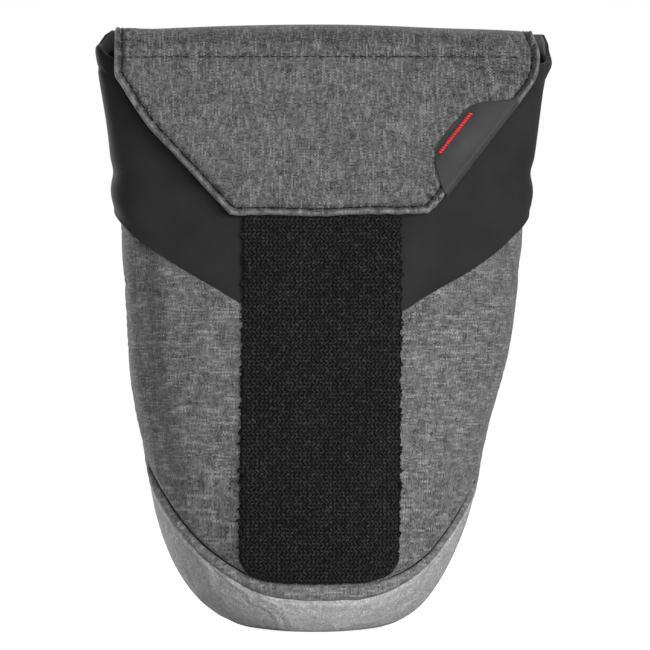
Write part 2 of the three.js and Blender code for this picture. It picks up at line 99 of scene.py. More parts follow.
class Grain(Enum):
    """Which way the light slubs of a melange cloth mostly run, as the upright share."""

    UPRIGHT = 0.62
    LEVEL = 0.34


def ease(x: Array) -> Array:
    """A smooth step from 0 to 1 as x goes from 0 to 1."""
    x = np.clip(x, 0, 1)
    return x * x * (3 - 2 * x)


def hump(x: Array) -> Array:
    """A bell of height 1 and half width 1 round x = 0."""
    return np.exp(-x * x)


def ramp(x: Array, start: float, over: float) -> Array:
    """A smooth step from 0 to 1 from a start over a length, both in millimetres."""
    return ease((x - start * MM) / (over * MM))


def bell(x: Array, middle: float, half: float) -> Array:
    """A bell of height 1 round a middle, with its half width, both in millimetres."""
    return hump((x - middle * MM) / (half * MM))


def mix(a: Array, b: Array, share: Array) -> Array:
    """A value from a to b."""
    return a + (b - a) * share


def signed_power(a: Array, power: Array) -> Array:
    """a to a power, with its sign kept."""
    return np.sign(a) * np.abs(a) ** power


def rows_of(*parts: Array) -> Array:
    """Numbers side by side, as points or as places on the cloth."""
    return np.stack(np.broadcast_arrays(*parts), axis=-1)


def lengths_of(line: Array) -> Array:
    """How far along a line each of its points lies."""
    steps = np.linalg.norm(np.diff(line, axis=0), axis=1)
    return np.concatenate([[0], np.cumsum(steps)])


def bell_kernel(half: float, step: float, spare: int) -> Array:
    """The weights that smooth a row of values, which lie a step apart, over a length."""
    kernel = np.hanning(int(half / step) * 2 + spare)
    return kernel / kernel.sum()


def flap_height(x: Array) -> Array:
    """How high the closed flap's top lies at a distance x from the middle."""
    crown = 191.3 * MM - 2.3 * MM * (x / (67.3 * MM)) ** 2
    return crown - 0.45 * MM * bell(x, 36, 18)


@dataclass(frozen=True)
class Ripple:
    """Soft undulation of a cloth: waves of about one size that a seed picks."""

    seed: int
    size: float
    waves: int = 7

    def at(self, u: Array, v: Array) -> Array:
        """The undulation, about -1.5 to 1.5.

        Args:
            u: the distance one way along the cloth.
            v: the distance the other way.

        Returns:
            The sum of the waves, scaled for how many they are.
        """
        rng = np.random.default_rng(self.seed)
        total = np.zeros_like(u)
        for _ in range(self.waves):
            angle, phase = rng.uniform(0, TURN, 2)
            length = self.size * rng.uniform(0.7, 1.6)
            along = u * math.cos(angle) + v * math.sin(angle)
            total = total + np.sin(along * TURN / length + phase)
        return total / math.sqrt(self.waves)


@dataclass(frozen=True)
class Level:
    """The body's section at one height: half width, faces, and squareness of its halves."""

    height: float
    half_width: float
    front: float
    back: float
    front_square: float
    back_square: float


@dataclass(frozen=True)
class Wall:
    """The pouch's wall as a surface of t, round the section, and v, up the wall.

    t is the angle from the front's middle towards +X. Above the bottom rounding v is the
    height. In the rounding it is spread round the arc, and from -1 mm to 0 it crosses the
    flat underside.
    """

    levels: tuple[Level, ...] = (
        Level(0, 44.7 * MM, -47 * MM, 39 * MM, 2.1, 3.6),
        Level(50 * MM, 52.3 * MM, -40.3 * MM, 39 * MM, 2.45, 4.4),
        Level(86 * MM, 60 * MM, -30.7 * MM, 39 * MM, 2.6, 4.6),
        Level(120 * MM, 63.8 * MM, -21.6 * MM, 39 * MM, 2.7, 4.2),
        Level(150 * MM, 67.2 * MM, -13.5 * MM, 34.5 * MM, 2.8, 3.4),
        Level(182 * MM, 71.6 * MM, -4.9 * MM, 29 * MM, 3, 3),
    )
    # How far the sides sway towards +X at each height, as the soft body slumps, in
    # millimetres.
    sway: Pairs = ((0, -2.4), (22, -2.95), (44, -2.7), (70, -2.4), (90, -1), (104, -0.2),
                   (150, 0), (192, 0.2))
    # How far the slack underside lifts off the floor towards its sides.
    crowned: float = 0.95 * MM
    crown_half: float = 20 * MM
    crown_fade: float = 3 * MM
    # How far the sewn seams run above their plain curves, as degrees round and millimetres.
    seam_trim: Pairs = (
        (-130, 0), (-105, 1.8), (-84, 3.4), (-69, 4.3), (-60, 2.4), (-50, 0.3), (-41, -0.5),
        (-33, -1.3), (-25, -1), (-13, 0.4), (0, 1), (10, 0.6), (21, -0.9), (32, -2.2),
        (43, -3.2), (52, -3.2), (62, -0.6), (72, 1), (90, 0.4), (110, 0),
    )
    top_trim: Pairs = (
        (-150, 0), (-120, 3), (-95, 7.2), (-80, 7.9), (-70, 7.2), (-59, 5.7), (-48, 4.8),
        (-34, 3.7), (-26, 3.2), (-20, 2.5), (0, 1.2), (19, 0), (23, 0.7), (30, 1.2),
        (37, 1.4), (45, 2), (57, 3.7), (66, 5.6), (80, 6.6), (95, 6.3), (120, 2.6), (150, 0),
    )
    round_height: float = 50 * MM
    round_side: float = 24.5 * MM
    round_front: float = 18 * MM
    round_back: float = 10 * MM
    top_front: float = 88 * MM
    top_back: float = 132 * MM
    top_slope: float = 0.52
    top_level: float = 110 * MM
    top_sharpness: float = 6
    seam_side: float = 51 * MM
    seam_slant: float = 38 * MM
    seam_back_rise: float = 14 * MM
    seam_square: float = 0.5
    underside: float = 1 * MM
    highest: float = 192 * MM
    side_angle: float = math.radians(117)

    def _curve(self, knots: Array, values: Array, at: Array) -> Array:
        """A smooth curve through knots that stays straight where two values are alike.

        Args:
            knots: where the values are given.
            values: the curve's value at each knot.
            at: where the curve is wanted, also past its ends.

        Returns:
            The curve's values there.
        """
        last = len(knots) - 1
        low = np.maximum(np.arange(last + 1) - 1, 0)
        high = np.minimum(np.arange(last + 1) + 1, last)
        slopes = (values[high] - values[low]) / (knots[high] - knots[low])
        turns = (values - values[low]) * (values[high] - values) <= 0
        slopes[1:-1] = np.where(turns[1:-1], 0, slopes[1:-1])
        i = np.clip(np.searchsorted(knots, at, side="right") - 1, 0, last - 1)
        span = knots[i + 1] - knots[i]
        s = (at - knots[i]) / span
        rise = values[i + 1] - values[i]
        a = slopes[i] * span - rise
        b = rise - slopes[i + 1] * span
        inner = values[i] + rise * s + s * (1 - s) * (a * (1 - s) + b * s)
        below = values[i] + slopes[i] * (at - knots[i])
        above = values[i + 1] + slopes[i + 1] * (at - knots[i + 1])
        return np.where(s < 0, below, np.where(s > 1, above, inner))

    def value(self, name: str, height: Array) -> Array:
        """One of the section's sizes at each height."""
        knots, values = np.array([(lv.height, getattr(lv, name)) for lv in self.levels]).T
        return self._curve(knots, values, np.asarray(height, float))

    def height_at(self, v: Array) -> Array:
        """The height above the floor at wall coordinate v."""
        turn = np.clip(v / self.round_height, 0, 1) * (math.pi / 2)
        return np.where(v >= self.round_height, v, self.round_height * (1 - np.cos(turn)))

    def coordinate(self, height: Array) -> Array:
        """The wall coordinate v at a height."""
        low = np.clip(height / self.round_height, 0, 1)
        arc = np.arccos(1 - low) / (math.pi / 2) * self.round_height
        return np.where(height >= self.round_height, height, arc)

    def section(self, v: Array) -> dict[str, Array]:
        """The section's height, half width, middle, half depth and squareness.

        Args:
            v: how far up the wall.

        Returns:
            An array for each of them, by its name.
        """
        height = self.height_at(v)
        draw = 1 - np.sin(np.clip(v / self.round_height, 0, 1) * (math.pi / 2))
        front = self.value("front", height) + self.round_front * draw
        back = self.value("back", height) - self.round_back * draw
        shrink = np.where(v < 0, np.maximum(1 + v / self.underside, 0), 1)
        half_width = self.value("half_width", height) - self.round_side * draw
        return {
            "height": height,
            "half_width": half_width * shrink,
            "middle": (front + back) / 2,
            "half_depth": (back - front) / 2 * shrink,
            "front_square": self.value("front_square", height),
            "back_square": self.value("back_square", height),
        }

    def base(self, t: Array, v: Array) -> Array:
        """Points on the shell's outer face, before the sides sway."""
        at = self.section(v)
        power = 2 / np.where(np.cos(t) >= 0, at["front_square"], at["back_square"])
        x = at["half_width"] * signed_power(np.sin(t), power)
        y = at["middle"] - at["half_depth"] * signed_power(np.cos(t), power)
        return rows_of(x, y, at["height"])

    def normal(self, t: Array, v: Array) -> Array:
        """The direction straight out of the wall."""
        at = self.section(np.maximum(v, 0))
        power = 2 - 2 / np.where(np.cos(t) >= 0, at["front_square"], at["back_square"])
        across = rows_of(signed_power(np.cos(t), power) / at["half_depth"],
                         signed_power(np.sin(t), power) / at["half_width"], 0.0)
        step = 0.05 * MM
        climb = self.base(t, np.maximum(v, 0) + step) - self.base(t, np.maximum(v - step, 0))
        out = np.cross(across, climb)
        out /= np.maximum(np.linalg.norm(out, axis=-1, keepdims=True), 1e-12)
        return np.where((v < 0)[..., None], np.array([0.0, 0.0, -1.0]), out)

    def swayed(self, points: Array) -> Array:
        """The points as the slumped body carries them: the sides sway, the middle stays."""
        x, height = points[..., 0], points[..., 2]
        half = self.section(self.coordinate(np.maximum(height, 0)))["half_width"]
        low = 1 - ramp(height, 0, 6)
        share = np.clip(np.abs(x) / half, 0, 1.05) ** 2
        lean = self._curve(*np.array(self.sway).T * MM, height)
        fall = np.exp(-np.maximum(height, 0) / self.crown_fade)
        moved = points.copy()
        moved[..., 0] += lean * mix(share, 1, low)
        moved[..., 2] += self.crowned * fall * (x / self.crown_half) ** 2
        return moved

    def point(self, t: Array, v: Array, out: Array) -> Array:
        """Points on the wall, moved out of it by a distance. Zero is the shell's face."""
        t, v, out = np.broadcast_arrays(t, v, out)
        return self.swayed(self.base(t, v) + self.normal(t, v) * out[..., None])

    @cached_property
    def girths(self) -> Array:
        """The length from the front's middle, by rows of v and columns of t."""
        t, v = np.meshgrid(np.linspace(0, math.pi, 73), np.linspace(0, self.highest, 33))
        steps = np.linalg.norm(np.diff(self.base(t, v), axis=1), axis=-1)
        return np.concatenate([np.zeros((len(steps), 1)), np.cumsum(steps, axis=1)], axis=1)

    def girth(self, t: Array, v: Array) -> Array:
        """The length round the section from the front's middle.

        Args:
            t: the angle it reaches to, also past the back's middle.
            v: how far up the wall it is measured.

        Returns:
            The length, which is negative to the left.
        """
        t, v = np.broadcast_arrays(np.asarray(t, float), np.asarray(v, float))
        lengths = self.girths
        rows, columns = lengths.shape
        turns = np.round(t / TURN)
        fold = t - TURN * turns
        a = np.clip(np.abs(fold) / math.pi * (columns - 1), 0, columns - 1.001)
        b = np.clip(np.maximum(v, 0) / self.highest * (rows - 1), 0, rows - 1.001)
        i, j = a.astype(int), b.astype(int)
        p, q = a - i, b - j
        low = mix(lengths[j, i], lengths[j, i + 1], p)
        high = mix(lengths[j + 1, i], lengths[j + 1, i + 1], p)
        half = mix(lengths[j, -1], lengths[j + 1, -1], q)
        return np.sign(fold) * mix(low, high, q) + 2 * turns * half

    def _trim(self, table: Pairs, t: Array) -> Array:
        """The trim of a seam at t, in metres."""
        turned = np.degrees(t - TURN * np.round(t / TURN))
        return np.interp(turned, *np.array(table).T) * MM

    def top(self, t: Array) -> Array:
        """The height of the padded wall's top edge."""
        fold = t - TURN * np.round(t / TURN)
        climb = self.top_slope * np.abs(self.girth(fold, self.top_level))
        levelling = 1 + (climb / (self.top_back - self.top_front)) ** self.top_sharpness
        plain = self.top_front + climb / levelling ** (1 / self.top_sharpness)
        return plain + self._trim(self.top_trim, t)

    def seam(self, t: Array) -> Array:
        """The height of the seam between the wall and the boot."""
        power = np.where(np.cos(t) >= 0, 1, self.seam_square)
        lean = signed_power(np.cos(t), power) * self.seam_slant
        behind = self.seam_back_rise * (1 - np.exp(np.minimum(lean, 0) / self.seam_back_rise))
        plain = np.where(lean >= 0, self.seam_side - lean, self.seam_side + behind)
        return plain + self._trim(self.seam_trim, t)

    def face(self, x: Array, height: Array, front: bool = True) -> Array:
        """The y of the front or the back face at a distance x from the middle."""
        at = self.section(self.coordinate(np.asarray(height, float)))
        side, square = (-1, at["front_square"]) if front else (1, at["back_square"])
        share = np.minimum(np.abs(x) / at["half_width"], 1)
        return at["middle"] + side * at["half_depth"] * (1 - share ** square) ** (1 / square)

    def front_angle(self, x: Array, height: float) -> Array:
        """The angle t on the front at a distance x from the middle."""
        at = self.section(self.coordinate(np.asarray(height, float)))
        share = np.minimum(np.abs(x) / at["half_width"], 1)
        return np.arcsin(share ** (at["front_square"] / 2))


class Signal:
    """A number or vector that flows through a material's nodes."""

    def __init__(self, paint: "Paint", socket: bpy.types.NodeSocket) -> None:
        """Wraps one output socket of a paint's node."""
        self.paint, self.socket = paint, socket

    def __add__(self, other: "Signal | float") -> "Signal":
        """The sum."""
        return self.paint.math("ADD", self, other)

    def __sub__(self, other: "Signal | float") -> "Signal":
        """The difference."""
        return self.paint.math("SUBTRACT", self, other)

    def __mul__(self, other: "Signal | float") -> "Signal":
        """The product."""
        return self.paint.math("MULTIPLY", self, other)

    def __truediv__(self, other: "Signal | float") -> "Signal":
        """The quotient."""
        return self.paint.math("DIVIDE", self, other)


class Paint:
    """One node material and the few steps that its pattern is written in."""

    def __init__(self, name: str, roughness: float, specular: float = 0.25) -> None:
        """Starts a material whose shader has a constant roughness and specular level."""
        self.material = bpy.data.materials.new(name)
        self.material.use_nodes = True
        self.tree = self.material.node_tree
        self.shader = self.tree.nodes["Principled BSDF"]
        self.shader.inputs["Roughness"].default_value = roughness
        self.shader.inputs["Specular IOR Level"].default_value = specular

    def node(self, kind: str, *inputs: "Signal | float", **settings: object) -> bpy.types.Node:
        """A new node of a kind, with its first inputs and its settings."""
        made = self.tree.nodes.new(kind)
        for key, value in settings.items():
            setattr(made, key, value)
        for socket, value in zip(made.inputs, inputs):
            self.feed(socket, value)
        return made

    def feed(self, socket: bpy.types.NodeSocket, value: "Signal | float | Sequence") -> None:
        """Links a signal to an input socket, or sets a constant there."""
        if isinstance(value, Signal):
            self.tree.links.new(value.socket, socket)
        else:
            socket.default_value = value

    def math(self, operation: str, *values: "Signal | float") -> Signal:
        """One math node on up to three values."""
        made = self.node("ShaderNodeMath", *values, operation=operation)
        return Signal(self, made.outputs[0])

    def parts(self, vector: bpy.types.NodeSocket) -> tuple[Signal, ...]:
        """The three numbers of a vector."""
        made = self.node("ShaderNodeSeparateXYZ", Signal(self, vector))
        return tuple(Signal(self, output) for output in made.outputs)

    def place(self) -> tuple[Signal, ...]:
        """The two distances along the cloth, in metres, from the piece's own UV map."""
        return self.parts(self.node("ShaderNodeUVMap", uv_map=CLOTH_UV).outputs[0])[:2]

    def space(self) -> tuple[Signal, ...]:
        """The place in the object's own coordinates."""
        return self.parts(self.node("ShaderNodeTexCoord").outputs["Object"])

    def painted_light_attribute(self) -> Signal:
        """The piece's painted light and tone at each place: lighter above 0, with painted highlights, and
        darker below it, with painted shade.
        """
        return Signal(self, self.node("ShaderNodeAttribute", attribute_name=PAINTED_LIGHT_LAYER).outputs["Fac"])

    def noise(self, *at: "Signal | float", scale: float = 1, detail: float = 0) -> Signal:
        """Smooth noise from 0 to 1 at a vector of up to three numbers."""
        made = self.node("ShaderNodeTexNoise")
        vector = self.node("ShaderNodeCombineXYZ", *at)
        self.feed(made.inputs["Vector"], Signal(self, vector.outputs[0]))
        made.inputs["Scale"].default_value = scale
        made.inputs["Detail"].default_value = detail
        return Signal(self, made.outputs[0])

    def scatter(self, *at: "Signal | float") -> Signal:
        """A random number from 0 to 1 for each whole vector."""
        vector = Signal(self, self.node("ShaderNodeCombineXYZ", *at).outputs[0])
        made = self.node("ShaderNodeTexWhiteNoise", vector, noise_dimensions="3D")
        return Signal(self, made.outputs[0])

    def span(self, value: Signal, low: float, high: float) -> Signal:
        """The value's place between low and high, held from 0 to 1 and eased."""
        made = self.node("ShaderNodeMapRange", value, low, high, interpolation_type="SMOOTHSTEP")
        return Signal(self, made.outputs[0])

    def wave(self, value: Signal) -> Signal:
        """A wave from 0 to 1 with one crest for each whole number."""
        return self.math("SINE", value * TURN) * 0.5 + 0.5

    def colour(self, dark: Sequence, light: Sequence, share: Signal) -> None:
        """Paints the shader's base colour from dark to light."""
        self.feed(self.shader.inputs["Base Color"], self.blend(dark, light, share))

    def blend(self, a: "Signal | Sequence", b: "Signal | Sequence", share: Signal) -> Signal:
        """A colour from a to b."""
        made = self.node("ShaderNodeMix", share, data_type="RGBA", clamp_factor=True)
        self.feed(made.inputs[6], a)
        self.feed(made.inputs[7], b)
        return Signal(self, made.outputs[2])

    def relief(self, height: Signal, depth: float, strength: float) -> None:
        """Raises the surface by a pattern, as bump of a depth in metres."""
        made = self.node("ShaderNodeBump")
        made.inputs["Strength"].default_value = strength
        made.inputs["Distance"].default_value = depth
        self.feed(made.inputs["Height"], height)
        self.tree.links.new(made.outputs[0], self.shader.inputs["Normal"])

    def sheen(self, weight: float, roughness: float, tint: Sequence = (1, 1, 1, 1)) -> None:
        """Gives the cloth a soft constant sheen."""
        self.shader.inputs["Sheen Weight"].default_value = weight
        self.shader.inputs["Sheen Roughness"].default_value = roughness
        self.shader.inputs["Sheen Tint"].default_value = tint


def grey(value: float, warmth: float = 0) -> tuple[float, float, float, float]:
    """A linear grey, slightly warm or cool."""
    return (value * (1 + warmth), value, value * (1 - warmth), 1)


@dataclass(frozen=True)
class Heather:
    """A plain-woven melange cloth whose threads are dark, grey or pale by turns.

    pitch is the distance from thread to thread, slub how long a thread keeps its tone, fleck
    how far the slubs stand out, and patch how strongly broad patches differ.
    """

    slot: str
    name: str
    dark: float
    light: float
    pitch: float = 0.48 * MM
    slub: float = 2.4 * MM
    fleck: float = 0.75
    grain: Grain = Grain.LEVEL
    patch: float = 0.2

    def make(self) -> bpy.types.Material:
        """Builds the material, whose weave follows the piece's own UV map."""
        paint = Paint(self.name + "_cloth", roughness=0.92, specular=0.12)
        u, v = paint.place()
        across, up = u / self.pitch, v / self.pitch
        warp, weft = paint.math("FLOOR", across), paint.math("FLOOR", up)
        over = paint.math("PINGPONG", warp + weft, 1.0)
        under = over * -1 + 1
        run = self.pitch / self.slub
        warp_tone = paint.noise(warp * 7.31, up * run, 1.7, detail=2)
        weft_tone = paint.noise(across * run, weft * 5.87, 9.2, detail=2)
        warp_slub = paint.noise(warp * 3.17, up * run * 0.5, 5.1, detail=1)
        weft_slub = paint.noise(across * run * 0.5, weft * 4.43, 2.6, detail=1)
        warp_slub, weft_slub = (paint.span(slub, 0.5, 0.7) for slub in (warp_slub, weft_slub))
        share = self.grain.value
        speck = paint.scatter(warp, weft, 4.0)
        broad = paint.noise(across * 0.13, up * 0.1, 7.7, detail=2)
        tone = paint.span(over * warp_tone + under * weft_tone, 0.3, 0.72)
        # The piece's painted shade and painted highlights, and its darker places, shift the cloth's tone
        # here.
        tone = tone * 0.34 + speck * 0.22 + (broad - 0.5) * self.patch * 2 + paint.painted_light_attribute() * 0.3
        upright = warp_slub * (over * 0.75 + 0.25) * (self.fleck * share)
        level = weft_slub * (under * 0.75 + 0.25) * (self.fleck * (1 - share))
        paint.colour(grey(self.dark), grey(self.light), tone + upright + level)
        warp_round = paint.math("ABSOLUTE", paint.math("SINE", across * math.pi))
        weft_round = paint.math("ABSOLUTE", paint.math("SINE", up * math.pi))
        height = over * warp_round + under * weft_round
        paint.relief(height + speck * 0.5 + upright + level, depth=0.10 * MM, strength=0.55)
        paint.sheen(0.25, 0.5)
        return paint.material


@dataclass(frozen=True)
class Knit:
    """A smooth black stretch knit with a very fine rib.

    inner is the grey of its paler inner face, which begins at turn up the cloth. It is partly
    the cloth's own grey and partly painted light: it is set light enough to lift the shaded
    insides of the rim's ears.
    """

    slot: str = "stretch"
    name: str = "stretch"
    tone: float = 0.031
    inner: float = 0
    turn: float = 8.4 * MM
    rib: float = 0.42 * MM

    def make(self) -> bpy.types.Material:
        """Builds the knit's material."""
        paint = Paint(self.name + "_knit", roughness=0.85, specular=0.1)
        u, v = paint.place()
        ribs = paint.wave(u / self.rib)
        rows = paint.wave(v / (self.rib * 0.8))
        soft = paint.noise(u * 60, v * 45, 2.0, detail=2)
        fine = paint.noise(u, v, 0.0, scale=2600, detail=1)
        share = paint.span(soft * 0.6 + fine * 0.4, 0.3, 0.72)
        dark, light = grey(self.tone * 0.8), grey(self.tone * 1.25)
        if self.inner:
            inner = paint.blend(grey(self.inner * 0.8), grey(self.inner * 1.2), share)
            turned = paint.span(v, self.turn, self.turn + 0.6 * MM)
            paint.colour(paint.blend(dark, light, share), inner, turned)
        else:
            paint.colour(dark, light, share)
        paint.relief(ribs * 0.6 + rows * 0.5 + fine, depth=0.05 * MM, strength=0.4)
        paint.sheen(0.1, 0.5, grey(0.75))
        return paint.material


@dataclass(frozen=True)
class LoopTape:
    """Black loop tape: zigzag columns of loops that catch the light as specks."""

    slot: str = "loop_tape"
    column: float = 1.33 * MM
    row: float = 1.14 * MM

    def make(self) -> bpy.types.Material:
        """Builds the tape's material."""
        paint = Paint("loop_tape_pile", roughness=0.9, specular=0.1)
        u, v = paint.place()
        rows = v / self.row
        zigzag = paint.math("PINGPONG", rows, 1.0) * 0.7
        wander = paint.noise(u * 420, v * 420, 3.0, detail=1) * 0.6
        wander = wander + paint.noise(u * 1300, v * 1300, 3.0) * 1.1
        columns = u / self.column + zigzag + wander
        crest = paint.wave(columns)
        columns = columns + paint.scatter(paint.math("FLOOR", rows), 8.0, 1.0) * 0.35
        level = paint.wave(rows - 0.25)
        cell = paint.scatter(paint.math("FLOOR", columns), paint.math("FLOOR", rows), 1.0)
        broad = paint.noise(u * 70, v * 50, 6.0, detail=2)
        speck = paint.span(crest * 0.7 + level * 0.3, 0.35, 0.95)
        speck = speck * (cell * 0.6 + 0.4)
        fibre = paint.noise(u, v, 0.0, scale=3200, detail=2)
        share = speck + (broad - 0.5) * 0.2 + (fibre - 0.5) * 0.3
        paint.colour(grey(0.005), grey(0.046), share)
        paint.relief(crest * 0.7 + level * 0.3 + fibre * 0.6, depth=0.2 * MM, strength=0.5)
        paint.sheen(0.06, 0.6, grey(0.5))
        return paint.material


@dataclass(frozen=True)
class PlainCloth:
    """A fine, nearly even cloth, tape or coating.

    tone is its grey, cool how much bluer it is, rib the distance between its ribs, if it has
    any, and grain the depth of its relief.
    """

    slot: str
    tone: float
    cool: float = 0
    roughness: float = 0.85
    rib: float = 0
    grain: float = 0.04 * MM
    sheen: float = 0.2

    def make(self) -> bpy.types.Material:
        """Builds the cloth's material."""
        paint = Paint(self.slot + "_surface", roughness=self.roughness, specular=0.3)
        u, v = paint.place()
        soft = paint.noise(u * 90, v * 90, 4.0, detail=3)
        fine = paint.noise(u, v, 0.0, scale=2400, detail=2)
        height = fine
        share = soft * 0.65 + fine * 0.35
        if self.rib:
            ribs = paint.wave(u / self.rib)
            picks = paint.wave(v / (self.rib * 0.6) + paint.math("FLOOR", u / self.rib) * 0.5)
            height = ribs * 1.6 + picks * 0.7 + fine * 0.4
            share = share * 0.6 + ribs * 0.25 + picks * 0.15
        dark, light = grey(self.tone * 0.8, -self.cool), grey(self.tone * 1.22, -self.cool)
        paint.colour(dark, light, paint.span(share, 0.3, 0.72))
        paint.relief(height, depth=self.grain, strength=0.6)
        paint.sheen(self.sheen, 0.5)
        return paint.material


@dataclass(frozen=True)
class Solid:
    """A plain material that reads the object's own coordinates, such as thread or board.

    scale is how fine its grain is, in waves for each metre, and grain the relief's depth.
    """

    slot: str
    colour: Point
    roughness: float = 0.7
    scale: float = 1500
    grain: float = 0.05 * MM
    contrast: float = 0.25

    def make(self) -> bpy.types.Material:
        """Builds the material."""
        paint = Paint(self.slot + "_solid", roughness=self.roughness, specular=0.3)
        spot = paint.noise(*paint.space(), scale=self.scale, detail=3)
        dark, light = ((*(c * tone for c in self.colour), 1)
                       for tone in (1 - self.contrast, 1 + self.contrast))
        paint.colour(dark, light, paint.span(spot, 0.25, 0.75))
        paint.relief(spot, depth=self.grain, strength=0.5)
        return paint.material


FINISHES = (
    Heather("heather", "heather", dark=0.045, light=0.42),
    Heather("heather", "flap_heather", dark=0.04, light=0.35, slub=1.8 * MM, patch=0.16),
    Heather("heather", "roll_heather", dark=0.075, light=0.45),
    Heather("pale_heather", "pale_heather", dark=0.27, light=0.95, slub=1.1 * MM,
            fleck=0.5, patch=0.1, grain=Grain.UPRIGHT),
    Knit(),
    # The rim's pale inner face is partly painted light, which lifts the shaded insides of its ears.
    Knit(name="rim_stretch", inner=0.15),
    LoopTape(),
    PlainCloth("hook_tape", 0.016, roughness=0.6, grain=0.08 * MM),
    PlainCloth("lining", 0.075, cool=0.05, rib=0.5 * MM),
    PlainCloth("coated", 0.052, roughness=0.62, grain=0.03 * MM, sheen=0.1),
    PlainCloth("webbing", 0.012, rib=0.95 * MM, grain=0.2 * MM),
    Solid("foam", (0.04, 0.04, 0.043), roughness=0.95, scale=1200, grain=0.2 * MM),
    Solid("board", (0.012, 0.012, 0.013), roughness=0.5, scale=900),
    Solid("red_thread", (0.76, 0.045, 0.055), roughness=0.55, scale=2500),
    Solid("black_thread", (0.006, 0.006, 0.006), roughness=0.75, scale=2500),
)


def shown(name: str, data: bpy.types.ID) -> bpy.types.Object:
    """A new object in the scene that holds some data."""
    made = bpy.data.objects.new(name, data)
    bpy.context.scene.collection.objects.link(made)
    return made


def linked(name: str, bm: bmesh.types.BMesh, soft: bool = False) -> bpy.types.Object:
    """A new object in the scene that holds a bmesh, which is freed.

    Args:
        name: the piece's name.
        bm: its mesh.
        soft: whether it is made of loose round forms, to turn outwards and shade softly.

    Returns:
        The object.
    """
    if soft:
        bmesh.ops.recalc_face_normals(bm, faces=bm.faces)
        for face in bm.faces:
            face.smooth = True
    mesh = bpy.data.meshes.new(name)
    bm.to_mesh(mesh)
    bm.free()
    return shown(name, mesh)


@dataclass
class Billow:
    """How a sewn cloth swells between its seams, by a cloth simulation.

    pins says how firmly each place is held, from 0 to 1. The cloth is cut wider by spare than
    the shape it lies on and ends further in by slack where it is free. No place moves further
    than most outwards or least inwards.
    """

    pins: Share
    pressure: float = 4
    spare: float = 0.02
    most: float = 0.8 * MM
    least: float = 0.25 * MM
    slack: float = 0.5 * MM
    frames: int = 20

    def settle(self, bm: bmesh.types.BMesh, pins: Sequence[float]) -> Array:
        """Runs the simulation on a copy of an open sheet.

        Args:
            bm: the sheet, which stays as it is.
            pins: how firmly each vertex is held.

        Returns:
            Where the free cloth comes to rest.
        """
        piece = linked("settling_cloth", bm.copy())
        held = piece.vertex_groups.new(name="held")
        for k, weight in enumerate(pins):
            held.add([k], float(weight), "REPLACE")
        cloth = piece.modifiers.new("cloth", "CLOTH")
        settings = cloth.settings
        settings.quality = 5
        settings.mass = 0.15
        settings.tension_stiffness = settings.compression_stiffness = 15
        settings.bending_stiffness = 0.3
        settings.use_pressure = True
        settings.uniform_pressure_force = self.pressure
        settings.shrink_min = -self.spare
        settings.vertex_group_mass = held.name
        settings.effector_weights.gravity = 0
        cloth.collision_settings.use_collision = False
        cloth.point_cache.frame_end = self.frames
        scene = bpy.context.scene
        for step in range(1, self.frames + 1):
            scene.frame_set(step)
        graph = bpy.context.evaluated_depsgraph_get()
        mesh = piece.evaluated_get(graph).data
        after = np.array([vertex.co[:] for vertex in mesh.vertices])
        scene.frame_set(1)
        bpy.data.objects.remove(piece)
        return after

    def swell(self, bm: bmesh.types.BMesh, pins: Sequence[float]) -> Array:
        """The vertices' new places, with the cloth's movement held to its limits.

        Args:
            bm: the sheet, which stays as it is.
            pins: how firmly each vertex is held.

        Returns:
            A point for each vertex.
        """
        after = self.settle(bm, pins)
        bm.normal_update()
        start, out = (np.array([getattr(vertex, part)[:] for vertex in bm.verts])
                      for part in ("co", "normal"))
        rise = ((after - start) * out).sum(axis=1, keepdims=True)
        side = after - start - out * rise
        log.info("settled cloth rose %.2f to %.2f mm", rise.min() / MM, rise.max() / MM)
        most = np.where(rise > 0, self.most, self.least)
        rise = most * np.tanh(rise / most) - self.slack * (1 - np.array(pins)[:, None])
        length = np.maximum(np.linalg.norm(side, axis=1, keepdims=True), 1e-9)
        return start + out * rise + side * np.minimum(1, self.least / length)


